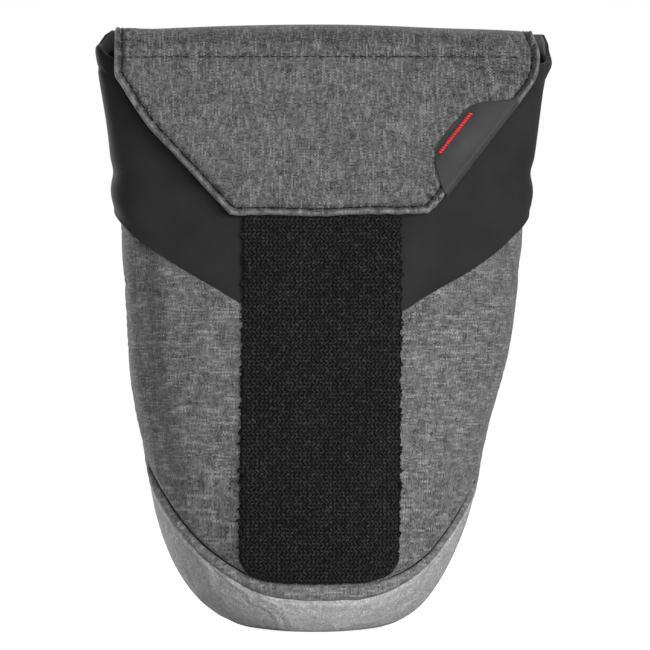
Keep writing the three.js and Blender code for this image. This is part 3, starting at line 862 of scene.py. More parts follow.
@dataclass
class Sheet:
    """A panel of cloth: a grid laid on a surface, with a thickness and soft edges.

    The thickness is measured inwards from the laid surface, and is 0 for a closed tube. A
    closed sheet is a ring whose first and last columns meet. edge is the radius of its worked
    edges. The last field gives the piece's painted shade and painted highlights, and where it is darker.
    """

    name: str
    columns: int
    rows: int
    place: Place
    thickness: float
    closed: bool = False
    edge: float = 0.25 * MM
    billow: Billow | None = None
    worn: Share | None = None

    def joined(self, points: Array, s: Array, r: Array) -> Array:
        """A ring's points, drawn together where its two ends meet."""
        gap = self.place(r * 0, r)[0] - self.place(r * 0 + 1, r)[0]
        near = ease((s - 0.93) / 0.07) - ease((0.07 - s) / 0.07)
        return points + gap * near[:, None] / 2

    def make(self) -> bpy.types.Object:
        """Builds the panel, at the origin, with its modifiers applied."""
        bm = bmesh.new()
        bmesh.ops.create_grid(bm, x_segments=self.columns, y_segments=self.rows, size=0.5)
        s, r = np.array([vertex.co[:2] for vertex in bm.verts]).T + 0.5
        points, cloth = self.place(s, r)
        if self.closed:
            points = self.joined(points, s, r)
        uv = bm.loops.layers.uv.new(CLOTH_UV)
        bm.verts.index_update()
        for face in bm.faces:
            face.smooth = True
            for loop in face.loops:
                loop[uv].uv = cloth[loop.vert.index]
        amounts = {PAINTED_LIGHT_LAYER: self.worn, "held": self.billow and self.billow.pins}
        for name, amount in amounts.items():
            if amount:
                layer = bm.verts.layers.float.new(name)
                for vertex, value in zip(bm.verts, amount(s, r)):
                    vertex[layer] = value
        for vertex, point in zip(bm.verts, points):
            vertex.co = point
        if self.closed:
            bmesh.ops.remove_doubles(bm, verts=bm.verts, dist=0.002 * MM)
            stray = [vertex for vertex in bm.verts if not vertex.link_faces]
            bmesh.ops.delete(bm, geom=stray, context="VERTS")
        if self.billow:
            held = bm.verts.layers.float["held"]
            pins = [vertex[held] for vertex in bm.verts]
            for vertex, point in zip(bm.verts, self.billow.swell(bm, pins)):
                vertex.co = point
            bm.verts.layers.float.remove(held)
        if self.thickness:
            return self.thickened(bm)
        bmesh.ops.recalc_face_normals(bm, faces=bm.faces)
        return linked(self.name, bm)

    def thickened(self, bm: bmesh.types.BMesh) -> bpy.types.Object:
        """A closed, soft-edged object made from the open sheet.

        Args:
            bm: the sheet, whose faces point out. It is freed.

        Returns:
            The finished object.
        """
        piece = linked(self.name, bm)
        solid = piece.modifiers.new("thickness", "SOLIDIFY")
        solid.thickness = self.thickness
        solid.offset = -1
        solid.use_even_offset = False
        if self.edge:
            bevel = piece.modifiers.new("edge", "BEVEL")
            bevel.width = self.edge
            bevel.segments = 2
            bevel.limit_method = "ANGLE"
            bevel.angle_limit = math.radians(50)
        graph = bpy.context.evaluated_depsgraph_get()
        mesh = bpy.data.meshes.new_from_object(piece.evaluated_get(graph), depsgraph=graph)
        old = piece.data
        piece.modifiers.clear()
        piece.data = mesh
        bpy.data.meshes.remove(old)
        mesh.name = piece.name
        mesh.polygons.foreach_set("use_smooth", [True] * len(mesh.polygons))
        bm = bmesh.new()
        bm.from_mesh(mesh)
        bmesh.ops.dissolve_degenerate(bm, dist=0.02 * MM, edges=bm.edges)
        bmesh.ops.recalc_face_normals(bm, faces=bm.faces)
        bm.to_mesh(mesh)
        bm.free()
        return piece


def add_bead(bm: bmesh.types.BMesh, at: Matrix, size: Sequence[float], segments: int = 6) -> None:
    """Adds a ball, stretched to its three half sizes and set in place by a matrix."""
    bmesh.ops.create_uvsphere(bm, u_segments=segments, v_segments=6, radius=1,
                              matrix=at @ Matrix.Diagonal((*size, 1)))


@dataclass(frozen=True)
class Stitching:
    """Rows of sewn stitches: their length, gap and thickness, and how far they are sunk."""

    length: float = 2.4 * MM
    gap: float = 0.3 * MM
    thick: float = 0.5 * MM
    sunk: float = 0.02 * MM

    def sew(self, bm: bmesh.types.BMesh, path: Array, out: Array) -> None:
        """Adds the stitches along a path.

        Args:
            bm: the mesh that takes them.
            path: points along the line.
            out: the direction out of the cloth at each point.
        """
        along = lengths_of(path)
        count = max(int(along[-1] // (self.length + self.gap)), 1)
        for k in range(count):
            ends = np.array([k, k + 1]) * along[-1] / count + np.array([0.5, -0.5]) * self.gap
            start, end = (Vector([np.interp(d, along, path[:, i]) for i in range(3)])
                          for d in ends)
            middle = float(ends.mean())
            up = Vector([np.interp(middle, along, out[:, i]) for i in range(3)]).normalized()
            run = (end - start).normalized()
            side = run.cross(up).normalized()
            up = side.cross(run)
            turn = Matrix((run, side, up)).transposed().to_4x4()
            at = Matrix.Translation((start + end) / 2 - up * self.sunk)
            add_bead(bm, at @ turn @ Matrix.Rotation(math.pi / 2, 4, "Y"),
                     (self.thick / 2, self.thick / 2, (end - start).length / 2))

    def rows(self, name: str, rows: Sequence[tuple[Array, Array]]) -> bpy.types.Object:
        """One piece that holds several rows of stitches.

        Args:
            name: the piece's name.
            rows: for each row its path and the directions out of the cloth.

        Returns:
            The finished object.
        """
        bm = bmesh.new()
        for path, out in rows:
            self.sew(bm, path, out)
        return linked(name, bm, soft=True)


@dataclass(frozen=True)
class Give:
    """Where a piece that crosses a joint turns from one body's motion to the next's."""

    first: Body
    second: Body
    start: Point
    end: Point


# The stretch of the collar that shortens as the rim slides, the flap's fold, its hinge.
COLLAR_GIVE = Give(Body.SHELL, Body.RIM, (0, 0, 104 * MM), (0, 0, 177 * MM))
FOLD_GIVE = Give(Body.FLAP_TOP, Body.FLAP, (0, 8 * MM, 193 * MM), (0, -20 * MM, 164 * MM))
LIFT_GIVE = Give(Body.RIM, Body.FLAP_TOP, (0, 34 * MM, 183 * MM), (0, 22 * MM, 192 * MM))


class Tailor:
    def __init__(self) -> None:
        """Makes every finish once, to be handed out by its name."""
        self.made = {getattr(cloth, "name", cloth.slot): cloth.make() for cloth in FINISHES}

    def fit(self, work: Sheet | bpy.types.Object, finish: str, *nodes: str,
            on: Body | Give = Body.SHELL, fill: float = 0, **cut: object) -> None:
        """Finishes one piece.

        Args:
            work: the piece, or the sheet that makes it.
            finish: the name of its finish.
            nodes: the CAD nodes that it stands for.
            on: the body that it rides on, or where it gives way between two.
            fill: how full it is, where it is padded; not used.
            cut: how it was cut and how it lies, where it is a sheet; not used.
        """
        piece = work.make() if isinstance(work, Sheet) else work
        piece.data.materials.clear()
        piece.data.materials.append(self.made[finish])
        if nodes:
            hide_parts(*nodes)
        if isinstance(on, Give):
            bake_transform(piece, on.first.value, on.second.value,
                     start=Vector(on.start), end=Vector(on.end))
        else:
            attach(piece, on.value)

    def board(self, name: str) -> None:
        """Gives a hidden stiffening board, which stays as CAD made it, its finish."""
        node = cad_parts[name]
        for slot in node.material_slots:
            slot.material = self.made["board"]
        if not node.material_slots:
            node.data.materials.append(self.made["board"])


@dataclass
class PaddedWall:
    """The padded front, sides and back: shells, foam, lining and side seams.

    shell, foam and lining are thicknesses, gap lies between the layers, tuck is how deep the
    cloth is drawn in at a seam, and floor_share how much of the lining bag lies on the floor.
    """

    wall: Wall
    tailor: Tailor
    shell: float = 1.2 * MM
    foam: float = 4 * MM
    lining: float = 1 * MM
    gap: float = 0.3 * MM
    tuck: float = 1.2 * MM
    tuck_width: float = 1.6 * MM
    floor_share: float = 0.16
    undulation: Ripple = Ripple(11, 46 * MM)
    wrinkle: Ripple = Ripple(23, 13 * MM)
    ragged: Ripple = Ripple(29, 5 * MM)
    crease: Ripple = Ripple(31, 30 * MM)

    @property
    def bag_depth(self) -> float:
        """How far inside the shell's face the lining bag lies."""
        return self.shell + self.foam + 2 * self.gap + 0.3 * MM

    def panel(self, span: Pair, outer: float, dressed: bool, s: Array, r: Array) -> Placed:
        """One layer of one panel.

        Args:
            span: the angles that the panel lies between.
            outer: how far the layer's outer face lies out of the wall.
            dressed: whether it has the soft forms of the outer cloth.
            s: the share across.
            r: the share up.

        Returns:
            Its points and the places on its cloth.
        """
        wall = self.wall
        t = mix(span[0], span[1], s)
        ragged = 0.12 * MM * self.ragged.at(60 * MM * t, t * 0)
        low = wall.coordinate(wall.seam(t) + 0.4 * MM + ragged)
        high = wall.coordinate(wall.top(t))
        v = mix(low, high, mix(r, 0.5 - 0.5 * np.cos(math.pi * r), 0.35))
        u = wall.girth(t, v)
        soft = self.softness(t, u, v, low)
        if not dressed:
            return wall.point(t, v, outer + 0.8 * np.minimum(soft, 0)), rows_of(u, v)
        ends = (np.abs(u - wall.girth(t * 0 + end, v)) for end in (span[0] + 1e-6, span[1] - 1e-6))
        out = outer - self.tuck * hump((v - low) / self.tuck_width)
        out = out - self.tuck * 0.8 * hump(np.minimum(*ends) / self.tuck_width)
        out = out - 1.0 * MM * bell(high - v, 0, 11) * np.sin(t) ** 4
        return wall.point(t, v, out + soft), rows_of(u, v)

    def softness(self, t: Array, u: Array, v: Array, low: Array) -> Array:
        """How far the soft wall swells or dips.

        Args:
            t: the angle round the section.
            u: the distance round it.
            v: how far up the wall.
            low: where the wall starts.

        Returns:
            The distance out of the plain wall.
        """
        inside = ramp(v - low, 0, 14)
        broad = 0.35 * MM * self.undulation.at(u, v) * inside
        fine = 0.09 * MM * self.wrinkle.at(u, v * 0.6) * inside
        across = self.wall.base(t, v)[..., 0] / self.wall.value("half_width", v)
        front = ease(np.cos(t) / 0.1)
        dents = 1.6 * hump((across + 0.9) / 0.06) + 0.6 * hump((across - 0.88) / 0.1)
        return broad + fine - dents * MM * front * inside

    def spot(self, span: Pair, s: Array, r: Array) -> tuple[Array, Array, Array]:
        """A panel's angle, height up the wall and distance from the middle at s and r."""
        t = mix(span[0], span[1], s)
        v = mix(self.wall.coordinate(self.wall.seam(t)), self.wall.coordinate(self.wall.top(t)), r)
        return t, v, self.wall.base(t, v)[..., 0]

    def held(self, span: Pair, s: Array, r: Array) -> Array:
        """How firmly a panel is held: at its seams, under the tape and under the patch.

        Args:
            span: the angles that the panel lies between.
            s: the share across.
            r: the share up.

        Returns:
            0 where it is free, up to 1.
        """
        t, v, x = self.spot(span, s, r)
        edge = np.minimum(np.minimum(r, 1 - r) * 60, np.minimum(s, 1 - s) * 120) * MM
        firm = 1 - ramp(edge, 0.5, 3)
        tape = 1 - ramp(np.abs(x), 24, 4)
        patch = (1 - ramp(np.abs(x), 36, 6)) * ramp(v, 60, 6)
        crease = hump((np.abs(x) / self.wall.value("half_width", v) - 0.89) / 0.14)
        return np.maximum(firm, np.where(np.cos(t) > 0, np.maximum(tape, crease), patch))

    def worn(self, span: Pair, s: Array, r: Array) -> Array:
        """Painted shade: how a panel darkens in its left dent and along its seams, where shade falls.

        Args:
            span: the angles that the panel lies between.
            s: the share across.
            r: the share up.

        Returns:
            0 where no shade is painted, and less where it is.
        """
        t, v, x = self.spot(span, s, r)
        across = x / self.wall.value("half_width", v)
        # Painted shade in the left dent and along the seams.
        dent = hump((across + 0.86) / 0.05) * ease(np.cos(t) / 0.1) * ease(r / 0.2)
        edge = hump(np.minimum(r, 1 - r) / 0.012) + hump(np.minimum(s, 1 - s) / 0.008)
        return -0.25 * dent - 0.3 * edge

    def bag(self, s: Array, r: Array) -> Placed:
        """The lining bag's points and the places on its cloth, from the floor up."""
        wall, share = self.wall, self.floor_share
        t = (s - 0.5) * TURN
        v = np.where(r < share, mix(-wall.underside, 0, r / share),
                     mix(0, wall.coordinate(wall.top(t)), (r - share) / (1 - share)))
        u = wall.girth(t, v)
        crease = 0.25 * MM * self.crease.at(u, v) * ease((r - share) / 0.1)
        return (wall.point(t, v, -self.bag_depth - np.abs(crease)),
                rows_of(u, v + np.minimum(v, 0) * 30))

    def binding(self, s: Array, r: Array) -> Placed:
        """The tape that wraps the padding's top edge, from the outside over to the bag."""
        t = (s - 0.5) * TURN
        out = mix(0.1 * MM, -self.bag_depth - 1.2 * MM, r)
        v = self.wall.top(t) + 0.2 * MM + 2 * MM * np.sin(r * math.pi) ** 0.7
        return self.wall.point(t, v, out), rows_of(self.wall.girth(t, v), r * 8 * MM)

    def build(self) -> None:
        """Builds every piece of the padded wall."""
        fit, side_angle = self.tailor.fit, self.wall.side_angle
        spans = {"front": (-side_angle, side_angle), "back": (side_angle, TURN - side_angle)}
        for side, span in spans.items():
            columns = 210 if side == "front" else 96
            fit(Sheet(f"{side}_shell_cloth", columns, 76, partial(self.panel, span, 0, True),
                      self.shell, billow=Billow(partial(self.held, span)),
                      worn=partial(self.worn, span)),
                "heather", f"{side}_shell", fill=0.6)
            inside = partial(self.panel, span, -self.shell - self.gap - 1.2 * MM, False)
            fit(Sheet(f"{side}_foam_pad", columns // 3, 20, inside, self.foam - 2.5 * MM),
                "foam", f"{side}_foam", fill=0.8)
        rows = []
        v = np.linspace(60 * MM, 128 * MM, 90)
        for side in (-1, 1):
            for shift in (-2.2 * MM, 2.2 * MM):
                t = side * side_angle * (1 + shift / self.wall.girth(side_angle, v))
                rows.append((self.wall.point(t, v, 0.0), self.wall.normal(t, v)))
        fit(Stitching().rows("side_seam_stitches", rows), "black_thread")
        fit(Sheet("inner_lining_bag", 120, 64, self.bag, self.lining * 0.6, closed=True, edge=0),
            "lining", "front_lining", "back_lining", "base_lining",
            flat=(0.25, 0.15), held="stretched", rests_on=["base_board"])
        fit(Sheet("padding_binding", 160, 14, self.binding, 0.6 * MM, closed=True, edge=0),
            "black_thread", "rim_binding")


@dataclass
class Boot:
    """The paler padded cup under the slanted seam, with the roll that follows the seam."""

    wall: Wall
    tailor: Tailor
    shell: float = 1.2 * MM
    roll: float = 4 * MM
    bulge: Ripple = Ripple(41, 40 * MM)
    pucker: Ripple = Ripple(43, 7 * MM)
    flat_share: float = 0.14
    grain_level: float = 40 * MM

    def cup(self, outer: float, drop: float, dressed: bool, s: Array, r: Array) -> Placed:
        """One layer of the cup.

        Args:
            outer: how far the layer's outer face lies out of the wall.
            drop: how far below the seam it ends.
            dressed: whether it has the soft forms of the outer cloth.
            s: the share round.
            r: the share up, from the middle of the underside.

        Returns:
            Its points and the places on its cloth.
        """
        wall, flat = self.wall, self.flat_share
        t = (s - 0.5) * TURN
        top = wall.coordinate(wall.seam(t) - drop)
        v = np.where(r < flat, mix(-wall.underside, 0, r / flat),
                     top * np.clip((r - flat) / (1 - flat), 0, 1))
        u = wall.girth(t, self.grain_level)
        out = outer
        if dressed:
            below = top - v
            inside = ramp(v, 0, 9) * ramp(below, 0, 5)
            out = out + 0.4 * MM * self.bulge.at(u, v) * inside
            out = out + 0.12 * MM * self.pucker.at(u, v * 0.4) * bell(below, 0, 6)
            out = out + 0.3 * MM * bell(below, 1.5, 1.1) - 0.4 * MM * bell(below, 0, 0.7)
            out = out - 0.2 * MM * bell(below, 4, 1.6)
        points = wall.point(t, v, np.where(v <= 0, np.minimum(outer, 0), out))
        under = points[:, :2] * np.array([1, -1])
        return points, np.where((r < flat)[:, None], under, rows_of(u, v))

    def held(self, s: Array, r: Array) -> Array:
        """How firmly the cup is held: at its seam and where it stands."""
        return np.maximum(1 - ease((1 - r) / 0.08), 1 - ease((r - self.flat_share) / 0.3))

    def worn(self, s: Array, r: Array) -> Array:
        """Painted highlight: a pale line on the cup just below its seam, along the ridge there."""
        seam = self.wall.seam((s - 0.5) * TURN)
        below = self.wall.coordinate(seam - self.roll + 0.5 * MM) * (1 - r)
        # A painted highlight along the ridge below the seam.
        return 0.7 * bell(below, 1.8, 0.8)

    def band(self, s: Array, r: Array) -> Placed:
        """The roll's points and the places on its cloth, from its lower edge up."""
        wall = self.wall
        t = (s - 0.5) * TURN
        low = wall.coordinate(wall.seam(t) - self.roll - 0.6 * MM)
        high = wall.coordinate(wall.seam(t) - 0.25 * MM + 1.1 * MM * hump(t / 0.6))
        v = mix(low, high, r)
        u = wall.girth(t, v)
        crown = np.sin(math.pi * mix(0.05, 1, r)) ** mix(0.9, 0.5, ease(r / 0.5))
        side = 1 - 0.6 * np.abs(np.sin(t)) ** 4
        out = -1.1 * MM + (1.1 * MM + 0.75 * MM * side) * crown
        out = out + 0.06 * MM * self.pucker.at(u, v * 0.5) * crown
        return wall.point(t, v, out), rows_of(u, v)

    def build(self) -> None:
        """Builds the cup, its padding and the roll."""
        billow = Billow(self.held, pressure=3, most=0.4 * MM, least=0.15 * MM, slack=0.3 * MM)
        cup = partial(self.cup, 0, self.roll - 0.5 * MM, True)
        inside = partial(self.cup, -2.9 * MM, 1 * MM, False)
        self.tailor.fit(Sheet("boot_cloth", 300, 64, cup, self.shell, closed=True, edge=0,
                              worn=self.worn, billow=billow),
                        "pale_heather", "base_cup", fill=0.55)
        self.tailor.fit(Sheet("boot_foam_pad", 80, 20, inside, 2 * MM, closed=True, edge=0),
                        "foam", "base_foam", fill=0.8)
        self.tailor.fit(Sheet("seam_roll_cloth", 420, 12, self.band, 0.9 * MM, closed=True,
                              edge=0), "roll_heather", "seam_roll", fill=0.8)


@dataclass
class Collar:
    """The black stretch collar, the upper back and the folded rim.

    A soft crease runs round the sides at fold_height. rises is how much the rim rises beside
    the flap, by quarter, as millimetres out and up.
    """

    wall: Wall
    tailor: Tailor
    thickness: float = 1.0 * MM
    hem: float = 6.5 * MM
    hem_thickness: float = 2.4 * MM
    stack: float = 2.7 * MM
    ear_drop: float = 0.4 * MM
    fold_height: float = 144.5 * MM
    edge_bulge: float = 0.9 * MM
    drape: Ripple = Ripple(53, 38 * MM, 5)
    rises: tuple[tuple[str, Pairs], ...] = (
        ("front left", ((60, 0), (63, -5), (65.9, -5.9), (68.7, -3.8), (70.8, -1.1), (71.6, -0.6))),
        ("back left",
         ((64.6, 0.3), (65.7, 3.8), (66.6, 4), (68.7, 2.8), (70.6, 0.5), (71.6, -0.6))),
        ("front right", ((60, 0), (63, -5.5), (66, -6.6), (71, -6.6), (71.6, -5.2))),
        ("back right", ((65, 0), (66.5, 2.7), (69.5, 2.9), (70.8, 0.5), (71.6, -5.2))),
    )

    def rim_height(self, t: Array) -> Array:
        """The height of the rim, which dips and rises beside the flap."""
        x = self.wall.base(t, np.full_like(t, 181 * MM))[..., 0]
        height = flap_height(x) - self.stack - self.ear_drop * np.abs(np.sin(t)) ** 8
        for name, rise in self.rises:
            out, up = np.array(rise).T * MM
            here = ((np.cos(t) > 0) == ("front" in name)) & ((x < 0) == ("left" in name))
            height = height + np.where(here, np.interp(np.abs(x), out, up), 0)
        return height

    def shape(self, t: Array, v: Array, low: Array) -> Array:
        """How far the stretched cloth lies out of the wall.

        Args:
            t: the angle round the section.
            v: how far up the wall.
            low: where the cloth starts.

        Returns:
            The distance out of the wall.
        """
        u = self.wall.girth(t, v)
        side = ramp(np.abs(u), 30, 30)
        above = v - low
        out = 0.25 * MM + self.edge_bulge * side * bell(above, 6, 5)
        out = out + 0.35 * MM * bell(above, 0, 1.2)
        out = out - 0.8 * MM * side * bell(v - self.fold_height, 0, 3.2)
        out = out + 0.25 * MM * self.drape.at(u, v) * ramp(above, 0, 12)
        ear = bell(v, 179.5, 4) * ramp(np.abs(u), 70, 10)
        return out + ear * np.where(u > 0, 1.5 * MM, -0.2 * MM)

    def sleeve(self, s: Array, r: Array) -> Placed:
        """The stretch cloth round the front and the sides, from its V edge up."""
        wall = self.wall
        t = mix(-wall.side_angle, wall.side_angle, s)
        low = wall.top(t) - 0.9 * MM
        high = self.rim_height(t) - self.hem + 0.6 * MM
        v = mix(low, high, mix(r, r * r, 0.3))
        out = self.shape(t, v, low) - 0.3 * MM * ramp(v - high, -2.5, 1.5)
        return wall.point(t, v, out), rows_of(wall.girth(t, v), v)

    def upper(self, s: Array, r: Array) -> Placed:
        """The unpadded upper back, from the padding up to the rim."""
        wall = self.wall
        t = mix(wall.side_angle, TURN - wall.side_angle, s)
        low = wall.top(t) - 0.7 * MM
        v = mix(low, self.rim_height(t) - self.hem + 0.6 * MM, r)
        u = wall.girth(t, v)
        out = 0.3 * MM + 0.3 * MM * self.drape.at(u, v) * ramp(v - low, 0, 10)
        return wall.point(t, v, out), rows_of(u, v)

    def rim(self, s: Array, r: Array) -> Placed:
        """The folded rim as a flat tube.

        Args:
            s: the share round the pouch.
            r: the share round the tube, from its lower edge.

        Returns:
            Its points and the places on its cloth.
        """
        wall = self.wall
        t = (s - 0.5) * TURN
        turn = r * TURN
        radius = self.hem_thickness / 2
        straight = self.hem - 2 * radius
        v = self.rim_height(t) - radius - straight / 2 - (straight / 2 + radius) * np.cos(turn)
        face = self.shape(t, np.minimum(v, 184 * MM), wall.top(t))
        # The lower edge lies flat on the sleeve, and the rest is rolled round.
        flat = face - 0.3 * MM * np.clip(1 - r / 0.25, 0, 1) ** 2
        rolled = face - radius + radius * signed_power(np.sin(turn), 0.6)
        out = np.where(r < 0.25, flat, mix(rolled, face - 0.3 * MM, ease((r - 0.88) / 0.12)))
        return wall.point(t, v, out), rows_of(wall.girth(t, v), r * 16 * MM)

    def build(self) -> None:
        """Builds the sleeve, the upper back and the rim with its stitches."""
        fit = self.tailor.fit
        fit(Sheet("collar_cloth", 240, 70, self.sleeve, self.thickness),
            "stretch", "collar_sleeve", on=COLLAR_GIVE,
            flat=(0.25, 0.10), held="stretched", rests_on=["rim_hem"], area=0.0135)
        fit(Sheet("back_upper_cloth", 90, 44, self.upper, self.thickness),
            "heather", "back_upper", on=COLLAR_GIVE,
            flat=(0.115, 0.052), held="stretched", rests_on=["rim_hem"])
        fit(Sheet("rim_hem_cloth", 420, 20, self.rim, 0, closed=True),
            "rim_stretch", "rim_hem", on=Body.RIM)
        t = np.linspace(-0.3 * math.pi, 0.3 * math.pi, 160)
        v = self.rim_height(t) - 4.6 * MM
        out = self.shape(t, v, self.wall.top(t)) + 0.02 * MM
        row = (self.wall.point(t, v, out), self.wall.normal(t, v))
        fit(Stitching(thick=0.32 * MM).rows("hem_stitches", [row]), "black_thread", on=Body.RIM)


@dataclass
class LoopStrip:
    """The loop tape down the front, with the pile that frays its two edges."""

    wall: Wall
    tailor: Tailor
    width: float = 50 * MM
    head: float = 176 * MM
    rise: float = 1.5 * MM
    thickness: float = 1.1 * MM
    corner: float = 4.4 * MM
    seed: int = 67
    wave: Ripple = Ripple(71, 24 * MM)
    fray: Ripple = Ripple(73, 1.7 * MM, 9)

    def foot(self, x: Array) -> Array:
        """The height of the tape's rounded foot, which sits in the boot's seam."""
        lowest = self.wall.seam_side - self.wall.seam_slant
        seam = self.wall.seam(self.wall.front_angle(x, lowest))
        reach = np.clip((np.abs(x) - (self.width / 2 - self.corner)) / self.corner, 0, 0.98)
        return seam + 1.3 * MM + self.corner * (1 - np.sqrt(1 - reach ** 2))

    def surface(self, x: Array, height: Array) -> Array:
        """Points on the tape's face."""
        joint = self.wall.top(self.wall.front_angle(x, self.wall.top_level))
        step = 0.55 * MM * ramp(height - joint, -5, 12)
        worked = bell(self.width / 2 - np.abs(x), 0, 0.8) + bell(height - self.foot(x), 0, 0.9)
        soft = 0.45 * MM * worked - 0.12 * MM * self.wave.at(x, height)
        return self.wall.swayed(rows_of(x, self.wall.face(x, height) - self.rise - step + soft,
                                        height))

    def tape(self, s: Array, r: Array) -> Placed:
        """The tape's points and the places on it, from its foot up."""
        share = mix(s, 0.5 - 0.5 * np.cos(math.pi * s), 0.35)
        x = mix(-self.width / 2, self.width / 2, share)
        height = mix(self.foot(x), self.head, r)
        edge = bell(self.width / 2 - np.abs(x), 0, 1.2)
        x = x + 0.45 * MM * self.fray.at(height, x * 0.2) * edge * np.sign(x)
        low = bell(height - self.foot(x), 0, 1.2)
        height = height + 0.16 * MM * self.fray.at(x, height * 0.2) * low
        return self.surface(x, height), rows_of(x, height)

    def build(self) -> None:
        """Builds the tape and its frayed pile."""
        self.tailor.fit(Sheet("loop_tape_strip", 72, 340, self.tape, self.thickness),
                        "loop_tape", "loop_strip_lower", "loop_strip_upper", on=COLLAR_GIVE,
                        flat=(self.width, 0.172), held="laid", rests_on=["front_shell_cloth"])
        rng = np.random.default_rng(self.seed)
        lowest = float(self.foot(np.array([self.width / 2]))[0])
        heights = np.arange(lowest - 1 * MM, self.head - 46 * MM, 0.3 * MM)
        widths = np.arange(-22 * MM, 22 * MM, 0.4 * MM)
        side = np.repeat([-1.0, 1.0, 0.0], [len(heights), len(heights), len(widths)])
        edge = self.width / 2 - rng.uniform(-0.1, 0.6, len(heights) * 2) * MM
        across = widths + rng.uniform(-0.2, 0.2, len(widths)) * MM
        foot = self.foot(widths) + rng.uniform(0.1, 0.5, len(widths)) * MM
        x = np.concatenate([edge * side[:len(edge)], across])
        height = np.concatenate([heights, heights, foot])
        height = height + rng.uniform(-0.2, 0.2, len(height)) * MM
        bm = bmesh.new()
        for root, out in zip(self.surface(x, height), side):
            self.add_strand(bm, rng, Vector(root), out)
        self.tailor.fit(linked("loop_tape_pile_edge", bm), "black_thread", on=COLLAR_GIVE)

    def add_strand(self, whole: bmesh.types.BMesh, rng: np.random.Generator, root: Vector,
                   side: float) -> None:
        """Adds one stray loop, a thin three-sided arch.

        Args:
            whole: the mesh that takes it.
            rng: picks its size and lean.
            root: where it starts on the tape.
            side: -1 or 1 at an edge, 0 at the foot.
        """
        bm = bmesh.new()
        reach = rng.uniform(0.35, 1.0) * MM
        out = Vector((side, 0, 0)) if side else Vector((0, 0, -1))
        out = (out + Vector((0, rng.uniform(-0.5, 0.1), 0))).normalized()
        across = Vector((0, 0, 1)) if side else Vector((1, 0, 0))
        across = Matrix.Rotation(rng.uniform(-0.7, 0.7), 3, out) @ across
        start = root + Vector((0, 0.3 * MM, 0)) - across * (reach * 0.5)
        ends = bmesh.ops.create_circle(bm, cap_ends=True, segments=3,
                                       radius=rng.uniform(0.06, 0.1) * MM,
                                       matrix=Matrix.Translation(start))
        bmesh.ops.rotate(bm, verts=ends["verts"], cent=start,
                         matrix=out.to_track_quat("Z", "Y").to_matrix())
        bmesh.ops.spin(bm, geom=bm.faces[:], cent=start + across * (reach * 0.5),
                       axis=out.cross(across), angle=-math.pi, steps=4, use_merge=False)
        bmesh.ops.recalc_face_normals(bm, faces=bm.faces)
        mesh = bpy.data.meshes.new("strand")
        bm.to_mesh(mesh)
        bm.free()
        whole.from_mesh(mesh)
        bpy.data.meshes.remove(mesh)


